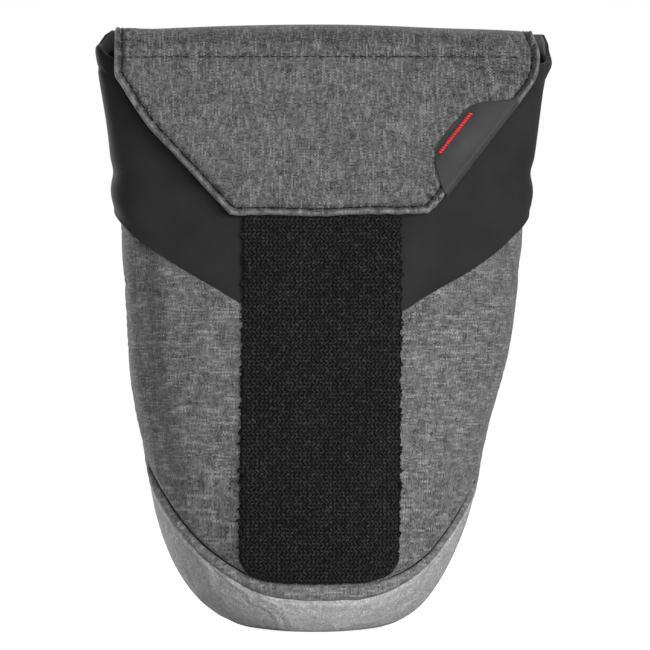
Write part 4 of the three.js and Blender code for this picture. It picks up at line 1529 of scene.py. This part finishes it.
@dataclass
class FlapForm:
    """The flap as a surface of x, across, and d, the distance down from the fold line.

    d is negative on the roll and on the top, and grows down the front. The tables are
    worked out from the wall and the flap's own sizes.
    """

    wall: Wall
    curl: float = 1.25 * MM
    half_width: float = 67.3 * MM
    fold: float = 181 * MM
    bottom: float = 131 * MM
    side_drop: float = 3 * MM
    side_curve: float = 2.5
    stand_off: float = 6.99 * MM
    back_reach: float = 1.9 * MM
    back_radius: float = 3.5 * MM
    soften: float = 3 * MM
    pitch: float = 0.5 * MM
    above: float = 62 * MM
    below: float = 58 * MM

    def __post_init__(self) -> None:
        """Works out the profile at each distance x across the flap."""
        self.xs = np.linspace(-74, 74, 75) * MM
        self.ds = np.arange(-self.above, self.below, self.pitch)
        self.table = np.stack([self._profile(x) for x in self.xs])

    def _profile(self, x: float) -> Array:
        """The profile of the outer face, smoothed along its length.

        Args:
            x: how far across the flap.

        Returns:
            The y and z at each d of the table.
        """
        high = flap_height(x) + self.curl * bell(x + self.half_width, 0, 8.8)
        drop = self.side_drop * (abs(x) / self.half_width) ** self.side_curve - self.stand_off
        radius = high - self.fold
        front = float(self.wall.face(0.0, self.fold)) + drop
        back = float(self.wall.face(min(abs(x), 69 * MM), self.fold, False)) + self.back_reach
        turns = np.linspace(0, math.pi / 2, 24)
        down = np.linspace(self.fold, self.bottom - 12 * MM, 60)[1:]
        small = self.back_radius
        behind = np.linspace(high - small - 16 * MM, high - small, 20)[:-1]
        flat = np.linspace(back - small, front + radius, 40)[:-1]
        line = np.concatenate([
            rows_of(back, behind),
            rows_of(back - small + small * np.cos(turns[:-1]),
                    high - small + small * np.sin(turns[:-1])),
            rows_of(flat, high),
            rows_of(front + radius - radius * np.sin(turns),
                    self.fold + radius * np.cos(turns)),
            rows_of(self.wall.face(0.0, down) + drop, down),
        ])
        along = lengths_of(line)
        d = along - along[len(line) - len(down) - 1]
        step = 0.25 * MM
        fine = np.arange(d[0], d[-1], step)
        kernel = bell_kernel(self.soften, step, 3)
        pad = len(kernel) // 2
        smooth = []
        for k in range(2):
            values = np.interp(fine, d, line[:, k])
            ends = (2 * values[0] - values[pad:0:-1], 2 * values[-1] - values[-2:-pad - 2:-1])
            values = np.convolve(np.concatenate([ends[0], values, ends[1]]), kernel, "valid")
            smooth.append(np.interp(self.ds, fine, values))
        return rows_of(*smooth)

    def _look_up(self, x: Array, d: Array) -> Array:
        """Points on the outer face, from the table."""
        a = np.clip((x - self.xs[0]) / (self.xs[1] - self.xs[0]), 0, len(self.xs) - 1.001)
        b = np.clip((d - self.ds[0]) / self.pitch, 0, len(self.ds) - 1.001)
        i, j = a.astype(int), b.astype(int)
        p, q = (a - i)[..., None], (b - j)[..., None]
        low = mix(self.table[i, j], self.table[i, j + 1], q)
        high = mix(self.table[i + 1, j], self.table[i + 1, j + 1], q)
        return np.concatenate([x[..., None], mix(low, high, p)], axis=-1)

    def normal(self, x: Array, d: Array) -> Array:
        """The direction out of the flap's face."""
        step = 0.5 * MM
        along = self._look_up(x, d + step) - self._look_up(x, d - step)
        out = np.cross(along, self._look_up(x + step, d) - self._look_up(x - step, d))
        return out / np.linalg.norm(out, axis=-1, keepdims=True)

    def point(self, x: Array, d: Array, out: Array) -> Array:
        """Points on the flap, moved out of its face by a distance."""
        x, d, out = np.broadcast_arrays(x, d, out)
        return self._look_up(x, d) + self.normal(x, d) * out[..., None]

    def spot(self, x: float, d: float, out: float) -> tuple[Vector, Vector]:
        """One point on the flap and the direction out of it there."""
        at = np.array([x]), np.array([d])
        return Vector(self.point(*at, out)[0]), Vector(self.normal(*at)[0])

    def distance_down(self, x: float, height: float) -> float:
        """The d at which the front reaches a height."""
        rows = self.table[int(np.argmin(np.abs(self.xs - x)))]
        front = self.ds > -15 * MM
        return float(np.interp(-height, -rows[front, 1], self.ds[front]))


@dataclass
class FlapOutline:
    """The flap's cut in its own flat coordinates, x across and d down.

    left and right are points on its edges from the top down, as x and height in millimetres.
    The corners are rounded over the length soften, and the worked edge begins at start.
    """

    form: FlapForm
    left: Pairs = (
        (-65.6, 189), (-65.7, 175), (-63.6, 172.2), (-60.2, 166.6), (-54.8, 158.7),
        (-46.2, 149.6), (-38.6, 141.4), (-28.8, 130.9),
    )
    right: Pairs = (
        (66.0, 189.4), (67.4, 187), (68.7, 184), (69.0, 180), (68.3, 175.4), (66.8, 172.4),
        (62.4, 166.3), (38.6, 137.2), (35.4, 133.2), (33.4, 131.6),
    )
    bottom_sag: float = 0.5 * MM
    waver: float = 0.16 * MM
    wavering: Ripple = Ripple(101, 17 * MM, 4)
    soften: float = 2.5 * MM
    start: float = -48 * MM

    def __post_init__(self) -> None:
        """Works out both edges as x at each d, and the bottom edge's ends."""
        step = 0.25
        self.ds = np.arange(-70, 70, step) * MM
        self.edges = []
        self.ends = []
        kernel = bell_kernel(self.soften, step * MM, 1)
        for points in (self.left, self.right):
            knots = [(self.form.distance_down(x * MM, z * MM), x * MM) for x, z in points]
            low, last = knots[-1], knots[-2]
            slope = (low[1] - last[1]) / (low[0] - last[0])
            knots.append((low[0] + 10 * MM, low[1] + slope * 10 * MM))
            at, x = np.array(knots).T
            self.edges.append(np.convolve(np.interp(self.ds, at, x), kernel, "same"))
            self.ends.append((low[1], low[0]))

    def bounds_at(self, d: Array) -> tuple[Array, Array]:
        """The x of the left and right edge at each d."""
        return np.interp(d, self.ds, self.edges[0]), np.interp(d, self.ds, self.edges[1])

    def bottom_at(self, x: Array) -> Array:
        """The d of the bottom edge at each x."""
        (x0, d0), (x1, d1) = self.ends
        share = np.clip((x - x0) / (x1 - x0), 0, 1)
        waver = self.waver * self.wavering.at(x, x * 0)
        return mix(d0, d1, share) + self.bottom_sag * np.sin(math.pi * share) + waver

    def line(self, inset: float) -> Array:
        """The edge from the left start round to the right start, moved inwards."""
        d = np.linspace(self.start, max(end[1] for end in self.ends), 160)
        left, right = self.bounds_at(d)
        x = np.linspace(self.ends[0][0], self.ends[1][0], 60)
        line = np.concatenate([rows_of(left, d)[:-1], rows_of(x, self.bottom_at(x)),
                               rows_of(right, d)[::-1][1:]])
        if not inset:
            return line
        run = np.gradient(line, axis=0)
        run /= np.maximum(np.linalg.norm(run, axis=1, keepdims=True), 1e-9)
        moved = line + rows_of(run[:, 1], -run[:, 0]) * inset
        return moved[self.distance(*moved.T)[0] > inset * 0.93]

    def distance(self, x: Array, d: Array) -> tuple[Array, Array]:
        """How far places lie from the edge.

        Args:
            x: how far across the flap.
            d: how far down it.

        Returns:
            The distances, and how far along the edge its nearest points are.
        """
        line = self.line(0)
        run = np.diff(line, axis=0)
        length = np.linalg.norm(run, axis=1)
        along = lengths_of(line)
        best, where = np.full(x.shape, 1.0), np.zeros(x.shape)
        for k in np.flatnonzero(length >= 1e-9):
            s = ((x - line[k, 0]) * run[k, 0] + (d - line[k, 1]) * run[k, 1]) / length[k] ** 2
            s = np.clip(s, 0, 1)
            gap = np.hypot(x - line[k, 0] - s * run[k, 0], d - line[k, 1] - s * run[k, 1])
            closer = gap < best
            best = np.where(closer, gap, best)
            where = np.where(closer, along[k] + s * length[k], where)
        return best, where


@dataclass
class Flap:
    """The flap: its cloth over the top and front, lining, stitching and hook patch.

    split is the d at which the anchor band takes over from the flap's cloth, and tugs are the
    crumpled places, as x, d and by how much in millimetres.
    """

    wall: Wall
    tailor: Tailor
    split: float = -42 * MM
    cloth: float = 1 * MM
    stitch_in: float = 2.45 * MM
    lining_depth: float = 2.6 * MM
    crumple: Ripple = Ripple(83, 34 * MM)
    pucker: Ripple = Ripple(89, 3.6 * MM, 6)
    tugged: Ripple = Ripple(91, 2.4 * MM, 6)
    tugs: tuple[Point, ...] = ((-61.5, -8, 0.6), (36, 46, 0.75), (-29, 47, 0.25))
    hook_rows: int = 24
    hook_columns: int = 32

    def __post_init__(self) -> None:
        """Works out the flap's form and outline."""
        self.form = FlapForm(self.wall)
        self.outline = FlapOutline(self.form)

    def tug(self, x: Array, d: Array) -> Array:
        """How far the crumpled places lie out of the face."""
        pulls = (amount * self.tugged.at(x, d) * bell(np.hypot(x - tug_x, d - tug_d), 0, 5)
                 for tug_x, tug_d, amount in np.array(self.tugs) * MM)
        return sum(pulls)

    def relief(self, x: Array, d: Array) -> Array:
        """How far the worked cloth lies out of the flap's face.

        Args:
            x: how far across the flap.
            d: how far down it.

        Returns:
            The distance out.
        """
        gap, along = self.outline.distance(x, d)
        front = ramp(d, -14, 7)
        seam = -1.3 * MM * bell(gap - self.stitch_in, 0, 0.85) * mix(0.15, 1, front)
        rim = 0.6 * MM * bell(gap, 0.9, 0.55) * front
        turned = -1.25 * MM * np.clip(1 - gap / (0.75 * MM), 0, 1) ** 2
        near = bell(gap, 1.2, 1.6)
        # The tab keeps the edge under it flat.
        covered = ramp(x, 38, 4) * ramp(d, 13, 4) * ramp(-d, -45, 4)
        puckers = 0.45 * MM * self.pucker.at(along, gap * 0.7) * near * mix(0.4, 1, front)
        puckers = puckers * (1 - covered) + self.tug(x, d)
        inside = ramp(gap, 0, 10)
        broad = 0.4 * MM * self.crumple.at(x, d) * inside * ramp(d, -4, 8)
        line = -0.28 * MM * bell(d, 0, 0.6) * ramp(gap, 0, 3)
        small = 0.16 * MM * self.pucker.at(x, d * 0.6) * bell(d, 0, 2.5)
        lap = -0.5 * MM * ramp(self.split - d, -5, 3)
        return seam + rim + turned + puckers + broad + line + small + lap

    def worn(self, s: Array, r: Array) -> Array:
        """Painted highlights and shade on the flap's edge, seam, fold, crumples and top, and its darker
        right side.

        Args:
            s: the share across.
            r: the share up.

        Returns:
            Above 0 where it is lighter, below it where it is darker.
        """
        x, d = self.spread(self.split, None, 0, s, r)
        gap, along = self.outline.distance(x, d)
        # A painted highlight on the edge's ridge and the crumples' crests, and painted shade in the seam's
        # groove, along the fold line and in the crumples' hollows.
        ridge = bell(gap, 0.7, 0.6) * (0.8 + 0.5 * self.pucker.at(along, along * 0))
        groove = bell(gap - self.stitch_in, -0.3, 0.9)
        lit_and_shaded = ridge - groove - 0.35 * bell(d, 0, 0.9) + self.tug(x, d) / MM
        # Painted shade over the roll and the top above the fold line; below it the front is darker towards
        # the right.
        on_top = 1 - ramp(d, -8, 9)
        return lit_and_shaded - 0.38 * on_top - 0.28 * ramp(x, 22, 30) * (1 - on_top)

    def spread(self, upper: float, lower: float | None, inset: float, s: Array,
               r: Array) -> tuple[Array, Array]:
        """Where a layer of the flap lies in flat coordinates.

        Args:
            upper: the d at which it starts.
            lower: the d at which it ends, or none to reach the bottom edge.
            inset: how far it keeps inside the flap's edge.
            s: the share across.
            r: the share up.

        Returns:
            The x and d.
        """
        across = mix(s, 0.5 - 0.5 * np.cos(math.pi * s), 0.62)
        down = 1 - r
        if lower is not None:
            d = mix(upper, lower, down)
            left, right = self.outline.bounds_at(d)
            return mix(left + inset, right - inset, across), d
        down = mix(down, np.sin(down * math.pi / 2), 0.45)
        least = min(end[1] for end in self.outline.ends)
        d = straight = mix(upper, least - inset, down)
        for _ in range(3):
            left, right = self.outline.bounds_at(d)
            x = mix(left + inset * 1.2, right - inset * 1.2, across)
            extra = self.outline.bottom_at(x) - least
            d = straight + extra * ramp(straight - least, -30, 30)
        return x, d

    def outer(self, s: Array, r: Array) -> Placed:
        """The outer cloth, from the bottom edge up over the top to the split."""
        x, d = self.spread(self.split, None, 0, s, r)
        return self.form.point(x, d, self.relief(x, d)), rows_of(d, x)

    def under(self, s: Array, r: Array) -> Placed:
        """The lining under it."""
        x, d = self.spread(self.split + 1 * MM, None, 0.9 * MM, s, r)
        out = -self.lining_depth + 0.6 * MM - 0.15 * MM * self.crumple.at(x, d)
        return self.form.point(x, d, out), rows_of(d, x)

    def anchor(self, s: Array, r: Array) -> Placed:
        """The band that carries the flap on the back and turns over the back's top edge."""
        d = mix(-57 * MM, self.split + 3.5 * MM, 1 - r)
        x = mix(-65.5 * MM, 66 * MM, s) * mix(1, 0.8, ramp(-d, 50, 6))
        lap = 0.75 * MM * ramp(d - self.split, -1.5, 1)
        edge = 0.3 * MM * bell(d - self.split, 3.5, 0.7)
        seam = 0.45 * MM * bell(d - self.split, 1.8, 0.5)
        out = -0.25 * MM + lap - edge - seam + 0.12 * MM * self.crumple.at(x, d)
        return self.form.point(x, d, out), rows_of(d, x)

    def anchor_under(self, s: Array, r: Array) -> Placed:
        """The lining of the band."""
        d = mix(-52 * MM, self.split + 1.5 * MM, 1 - r)
        x = mix(-64 * MM, 64.6 * MM, s) * mix(1, 0.8, ramp(-d, 49, 5))
        out = -1.5 * MM - 0.1 * MM * self.crumple.at(x, d)
        return self.form.point(x, d, out), rows_of(d, x)

    def build(self) -> None:
        """Builds every piece of the flap."""
        fit = self.tailor.fit
        folded = {"on": FOLD_GIVE, "held": "folded", "rests_on": ["rim_hem"]}
        fit(Sheet("flap_cloth", 170, 150, self.outer, self.cloth, worn=self.worn),
            "flap_heather", "flap_outer", "flap_top_outer",
            flat=(0.134, 0.102), area=0.0112, **folded)
        fit(Sheet("flap_lining_cloth", 80, 80, self.under, 0.6 * MM),
            "stretch", "flap_lining", "flap_top_lining",
            flat=(0.132, 0.10), area=0.0107, **folded)
        folded["on"] = LIFT_GIVE
        fit(Sheet("flap_anchor_cloth", 110, 34, self.anchor, 0.9 * MM),
            "flap_heather", "flap_anchor", flat=(0.132, 0.019), **folded)
        fit(Sheet("flap_anchor_lining", 90, 24, self.anchor_under, 0.5 * MM),
            "stretch", flat=(0.132, 0.01), **folded)
        self.topstitch()
        self.hook_patch()
        CornerTab(self.form, self.tailor).build()

    def topstitch(self) -> None:
        """The rows of stitches round the flap's edge, along its fold and on its lap."""
        form = self.form
        line = self.outline.line(self.stitch_in)
        x, d = line[line[:, 1] > self.split + 4 * MM].T
        on_tab = np.flatnonzero((x > 40 * MM) & (d > 13 * MM) & (d < 44 * MM))
        first, last = slice(on_tab[0]), slice(on_tab[-1] + 1, None)
        rows = [(form.point(x[run], d[run], self.relief(x[run], d[run]) + 0.10 * MM),
                 form.normal(x[run], d[run])) for run in (first, last)]
        x = np.linspace(-62 * MM, 64.5 * MM, 160)
        d = np.full_like(x, 0.2 * MM)
        rows.append((form.point(x, d, self.relief(x, d) - 0.04 * MM), form.normal(x, d)))
        edge = Stitching(gap=0.1 * MM, thick=0.5 * MM)
        self.tailor.fit(edge.rows("flap_topstitch", rows), "black_thread", on=FOLD_GIVE)
        x = np.linspace(-62 * MM, 64 * MM, 140)
        d = np.full_like(x, self.split + 1.8 * MM)
        row = (form.point(x, d, 0.45 * MM), form.normal(x, d))
        lap = Stitching(thick=0.3 * MM, sunk=0.1 * MM)
        self.tailor.fit(lap.rows("flap_lap_stitches", [row]), "black_thread", on=Body.FLAP_TOP)

    def hook_patch(self) -> None:
        """The hook tape under the flap, with its rows of tiny hooks."""
        low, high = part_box("hook_patch")
        top, bottom = (self.form.distance_down(0, end.z) for end in (high, low))

        def tape(s: Array, r: Array) -> Placed:
            """The tape's points and the places on it."""
            x, d = mix(low.x, high.x, s), mix(bottom, top, r)
            return self.form.point(x, d, -3.3 * MM), rows_of(x, -d)

        self.tailor.fit(Sheet("hook_tape_base", 20, 16, tape, 0.5 * MM),
                        "hook_tape", "hook_patch", on=Body.FLAP)
        bm = bmesh.new()
        for k in range(self.hook_rows * self.hook_columns):
            i, j = divmod(k, self.hook_columns)
            x = mix(low.x + 1 * MM, high.x - 1 * MM, j / (self.hook_columns - 1))
            d = mix(top + 1 * MM, bottom - 1 * MM, i / (self.hook_rows - 1))
            root, out = self.form.spot(x, d, -3.75 * MM)
            axis = (Vector((0.25 * (-1) ** (i + j), 0, 0)) - out).normalized()
            turn = axis.to_track_quat("Z", "Y").to_matrix().to_4x4()
            bmesh.ops.create_cone(bm, cap_ends=True, segments=4, radius1=0.17 * MM,
                                  radius2=0.1 * MM, depth=0.8 * MM,
                                  matrix=Matrix.Translation(root + axis * 0.3 * MM) @ turn)
        self.tailor.fit(linked("hook_tape_hooks", bm), "hook_tape", on=Body.FLAP)


@dataclass
class CornerTab:
    """The coated tab that is folded over the flap's right slanted edge, and its bar tack.

    inner, fold and tack are the lower and upper end of its inner edge, of the fold on the
    flap's edge and of the bar tack, as x and height in millimetres.
    """

    form: FlapForm
    tailor: Tailor
    inner: Pairs = ((34.7, 151.1), (46.4, 165.8))
    fold: Pairs = ((38.2, 137.8), (60.8, 167.1))
    tack: Pairs = ((37.2, 150.2), (46.6, 162.3))
    tack_width: float = 1.7 * MM
    thickness: float = 0.7 * MM
    radius: float = 1.75 * MM
    wraps: int = 18
    seed: int = 97

    def flat(self, ends: Pairs) -> list[Array]:
        """Two places on the flap's front in its flat coordinates, x and d."""
        return [np.array([x * MM, self.form.distance_down(x * MM, z * MM)]) for x, z in ends]

    def tab(self, s: Array, r: Array) -> Placed:
        """The tab, from its inner edge out, round the flap's edge and in behind it.

        Args:
            s: the share out and round.
            r: the share up.

        Returns:
            Its points and the places on it.
        """
        front = np.clip(s / 0.68, 0, 1)[:, None]
        angle = np.clip((s - 0.68) / 0.2, 0, 1) * math.pi
        behind = np.clip((s - 0.88) / 0.12, 0, 1)[:, None]
        up = r[:, None]
        (a, b), (c, e) = self.flat(self.inner), self.flat(self.fold)
        run = (e - c) / np.linalg.norm(e - c)
        outward = np.array([-run[1], run[0]]) * math.copysign(1, -run[1])
        spot = mix(mix(a, b, up), mix(c, e, up), front)
        # The two inner corners are rounded, and the low end bows out a little.
        corner = hump(np.hypot(front * 12, (1 - up) * 18) / 1.8)
        spot = spot + (outward * 0.5 * MM - run * 0.6 * MM) * corner
        corner = hump(np.hypot(front * 12, up * 18) / 2.6)
        spot = spot + (outward * 0.5 * MM + run * 0.6 * MM) * corner
        bow = 0.7 * MM * np.sin(math.pi * front) * hump(up / 0.25)
        spot = spot + outward * (self.radius * np.sin(angle)[:, None] - bow - behind * 4 * MM)
        front = front[:, 0]
        rise = mix(0.6 * MM, 1.35 * MM, ease(front / 0.35))
        rise = rise + 0.5 * MM * np.sin(math.pi * ease(front)) * np.sin(math.pi * r) ** 0.5
        out = rise - self.radius * (1 - np.cos(angle)) * 1.15
        return self.form.point(*spot.T, out), rows_of(s * 22 * MM, r * 37 * MM)

    def build(self) -> None:
        """Builds the tab and its bar tack, close wraps of thread laid slightly aslant."""
        self.tailor.fit(Sheet("corner_tab_cloth", 60, 60, self.tab, self.thickness,
                              edge=0.2 * MM),
                        "coated", "corner_tab", on=Body.FLAP,
                        flat=(0.022, 0.037), held="folded", rests_on=["flap_cloth"])
        low, high = self.flat(self.tack)
        bm = bmesh.new()
        rng = np.random.default_rng(self.seed)
        for k in range(self.wraps):
            share = k / (self.wraps - 1)
            root, up = self.form.spot(*mix(low, high, share), 1.28 * MM)
            ahead, _ = self.form.spot(*mix(low, high, share + 0.05), 1.28 * MM)
            along = (ahead - root).normalized()
            slant = Matrix.Rotation(math.radians(24 + rng.uniform(-5, 5)), 4, up)
            turn = Matrix((along, along.cross(up).normalized(), up)).transposed().to_4x4()
            half = self.tack_width / 2 + rng.uniform(-0.05, 0.05) * MM
            add_bead(bm, Matrix.Translation(root) @ slant @ turn, (0.48 * MM, half, 0.45 * MM), 8)
        self.tailor.fit(linked("corner_tab_bar_tack", bm, soft=True),
                        "red_thread", "tab_bar_tack", on=Body.FLAP)


@dataclass
class BeltLoops:
    """The back's patch and its two webbing loops, with their bar tacks."""

    wall: Wall
    tailor: Tailor
    patch_half: float = 38 * MM
    patch_low: float = 66.5 * MM
    patch_high: float = 122 * MM
    loop_width: float = 25 * MM
    spacing: float = 40 * MM
    low: float = 68 * MM
    high: float = 121 * MM
    thickness: float = 1.8 * MM
    stand_off: float = 7 * MM
    sewn: float = 5.5 * MM
    bend: float = 5.5 * MM
    threads: int = 26

    def path(self, height: Array) -> Array:
        """The y of a loop's inner face at each height."""
        seat = float(self.wall.face(0.0, 94 * MM, False)) + 1.5 * MM
        near = np.minimum(height - self.low, self.high - height)
        lift = np.clip((near - self.sewn) / (self.bend * 2.4), 0, 1)
        return seat + self.stand_off * np.sin(lift * math.pi / 2) ** 1.5

    def patch(self, s: Array, r: Array) -> Placed:
        """The patch's points and the places on it."""
        x = mix(self.patch_half, -self.patch_half, s)
        height = mix(self.patch_low, self.patch_high, r)
        edge = np.minimum(np.minimum(s, 1 - s) * 76, np.minimum(r, 1 - r) * 55.5) * MM
        y = self.wall.face(x, height, False) + 1.2 * MM
        y = y - 0.25 * MM * bell(edge, 2, 0.6)
        return self.wall.swayed(rows_of(x, y, height)), rows_of(-x, height)

    def strap(self, middle: float, s: Array, r: Array) -> Placed:
        """One loop's points and the places on its webbing."""
        x = middle + mix(self.loop_width / 2, -self.loop_width / 2, s)
        height = mix(self.low, self.high, r)
        y = self.path(height) + self.thickness + 0.15 * MM * hump((s - 0.5) * 2.5)
        length = height + (y - self.path(self.low)) * 0.6
        return rows_of(x, y, height), rows_of(-x, length)

    def build(self) -> None:
        """Builds the patch with its stitches, the loops and their bar tacks."""
        self.tailor.fit(Sheet("back_patch_cloth", 76, 56, self.patch, 0.9 * MM),
                        "coated", "back_patch",
                        flat=(0.076, 0.0555), held="laid", rests_on=["back_shell_cloth"])
        inset = 2 * MM
        x0, z0, z1 = self.patch_half - inset, self.patch_low + inset, self.patch_high - inset
        rows = []
        for (xa, za), (xb, zb), count in (((-x0, z0), (x0, z0), 60), ((-x0, z1), (x0, z1), 60),
                                          ((-x0, z0), (-x0, z1), 40), ((x0, z0), (x0, z1), 40)):
            x, z = np.linspace(xa, xb, count), np.linspace(za, zb, count)
            path = self.wall.swayed(rows_of(x, self.wall.face(x, z, False) + 1.1 * MM, z))
            rows.append((path, np.tile([0.0, 1.0, 0.0], (count, 1))))
        self.tailor.fit(Stitching().rows("back_patch_stitches", rows), "black_thread")
        for side, name in ((-1, "left"), (1, "right")):
            middle = side * self.spacing / 2
            self.tailor.fit(Sheet(f"belt_loop_{name}_webbing", 40, 90,
                                  partial(self.strap, middle), self.thickness, edge=0.4 * MM),
                            "webbing", f"belt_loop_{name}")
            for end, low in (("lower", self.low + 1.2 * MM), ("upper", self.high - 4.2 * MM)):
                self.tack(middle, low, f"loop_tack_{end}_{name}")

    def tack(self, middle: float, low: float, node: str) -> None:
        """A box of close zigzag stitches that holds one end of a loop.

        Args:
            middle: the loop's x.
            low: the height of the box's lower side.
            node: the CAD node that it stands for.
        """
        bm = bmesh.new()
        half = self.loop_width / 2 - 1.2 * MM
        face = float(self.path(self.low)) + self.thickness + 0.1 * MM
        for k in range(self.threads):
            x = middle + mix(-half, half, (k + 0.5) / self.threads)
            turn = Matrix.Rotation(0.22 if k % 2 else -0.22, 4, "Y")
            add_bead(bm, Matrix.Translation((x, face, low + 1.5 * MM)) @ turn,
                     (0.42 * MM, 0.42 * MM, 1.6 * MM))
        self.tailor.fit(linked(node + "_threads", bm, soft=True), "black_thread", node)


@dataclass
class Studio:
    """The plain pale floor, the soft light and the camera.

    pixel is the size of one of the photograph's pixels at the pouch, and aim the point at the
    middle of the picture. The sensor's width is in millimetres.
    """

    pixel: float = 0.3165 * MM
    pixels: int = 650
    aim: Point = (0.95 * MM, 0, 96.2 * MM)
    distance: float = 3.0
    sensor: float = 36
    ambient: float = 0.07

    def build(self) -> None:
        """Builds the camera, the surroundings, the lights and the floor."""
        self.camera()
        self.world()
        self.lamp("front_softbox", (0.55, -1.51, 0.12), (1.6, 0.6), 37)
        self.lamp("left_rim_softbox", (-0.75, 1.0, 0.2), (0.5, 0.5), 12)
        self.lamp("high_back_softbox", (0.1, 0.9, 1.3), (0.8, 0.8), 11)
        self.floor()

    def camera(self) -> None:
        """A level camera with a long lens, square to the front."""
        data = bpy.data.cameras.new("camera")
        data.sensor_width = self.sensor
        data.lens = self.sensor * self.distance / (self.pixel * self.pixels)
        data.clip_end = 100
        made = shown("camera", data)
        made.location = Vector(self.aim) - Vector((0, self.distance, 0))
        made.rotation_euler = (math.pi / 2, 0, 0)
        bpy.context.scene.camera = made

    def world(self) -> None:
        """White surroundings for the camera, and a soft even light for the object."""
        world = bpy.data.worlds.new("studio")
        world.use_nodes = True
        tree = world.node_tree
        seen = tree.nodes.new("ShaderNodeLightPath")
        soft, white = tree.nodes["Background"], tree.nodes.new("ShaderNodeBackground")
        for light, strength in ((soft, self.ambient), (white, 1.0)):
            light.inputs["Color"].default_value = (1, 1, 1, 1)
            light.inputs["Strength"].default_value = strength
        joined = tree.nodes.new("ShaderNodeMixShader")
        sources = (seen.outputs["Is Camera Ray"], soft.outputs[0], white.outputs[0])
        for source, socket in zip(sources, joined.inputs):
            tree.links.new(source, socket)
        tree.links.new(joined.outputs[0], tree.nodes["World Output"].inputs[0])
        bpy.context.scene.world = world

    def lamp(self, name: str, place: Point, size: Pair,
             power: float) -> None:
        """A soft light that faces the pouch.

        Args:
            name: the lamp's name.
            place: where it stands.
            size: how wide and how high it is.
            power: in watts.
        """
        data = bpy.data.lights.new(name, "AREA")
        data.shape = "RECTANGLE"
        data.size, data.size_y = size
        data.energy = power
        made = shown(name, data)
        made.location = place
        facing = Vector(self.aim) - Vector(place)
        made.rotation_euler = facing.to_track_quat("-Z", "Y").to_euler()

    def floor(self) -> None:
        """A white floor that keeps the pouch's soft shadow."""
        bm = bmesh.new()
        bmesh.ops.create_grid(bm, x_segments=1, y_segments=1, size=6,
                              matrix=Matrix.Translation((0, 0, -0.05 * MM)))
        piece = linked("floor", bm)
        paint = Paint("floor_white", roughness=0.9, specular=0.1)
        paint.feed(paint.shader.inputs["Base Color"], grey(0.5))
        seen = paint.node("ShaderNodeLightPath")
        x, y, _ = paint.space()
        reach = paint.math("SQRT", x * x + y * y)
        glow = paint.node("ShaderNodeEmission")
        paint.feed(glow.inputs["Strength"], paint.span(reach, 0.25, 1.5) * 0.1 + 0.9)
        plain, glowing = (Signal(paint, part.outputs[0]) for part in (paint.shader, glow))
        added = Signal(paint, paint.node("ShaderNodeAddShader", plain, glowing).outputs[0])
        camera = Signal(paint, seen.outputs["Is Camera Ray"])
        both = paint.node("ShaderNodeMixShader", camera, plain, added)
        paint.tree.links.new(both.outputs[0], paint.tree.nodes["Material Output"].inputs[0])
        piece.data.materials.append(paint.material)


def main() -> None:
    """Builds the pouch and its studio."""
    logging.basicConfig(level=logging.INFO, format="%(relativeCreated)6d %(name)s: %(message)s")
    bpy.context.scene.view_settings.view_transform = "Standard"
    Studio().build()
    wall, tailor = Wall(), Tailor()
    for part in (PaddedWall, Boot, Collar, LoopStrip, Flap, BeltLoops):
        part(wall, tailor).build()
    for name in ("back_board", "base_board", "flap_board"):
        tailor.board(name)


if __name__ == "__main__":
    main()
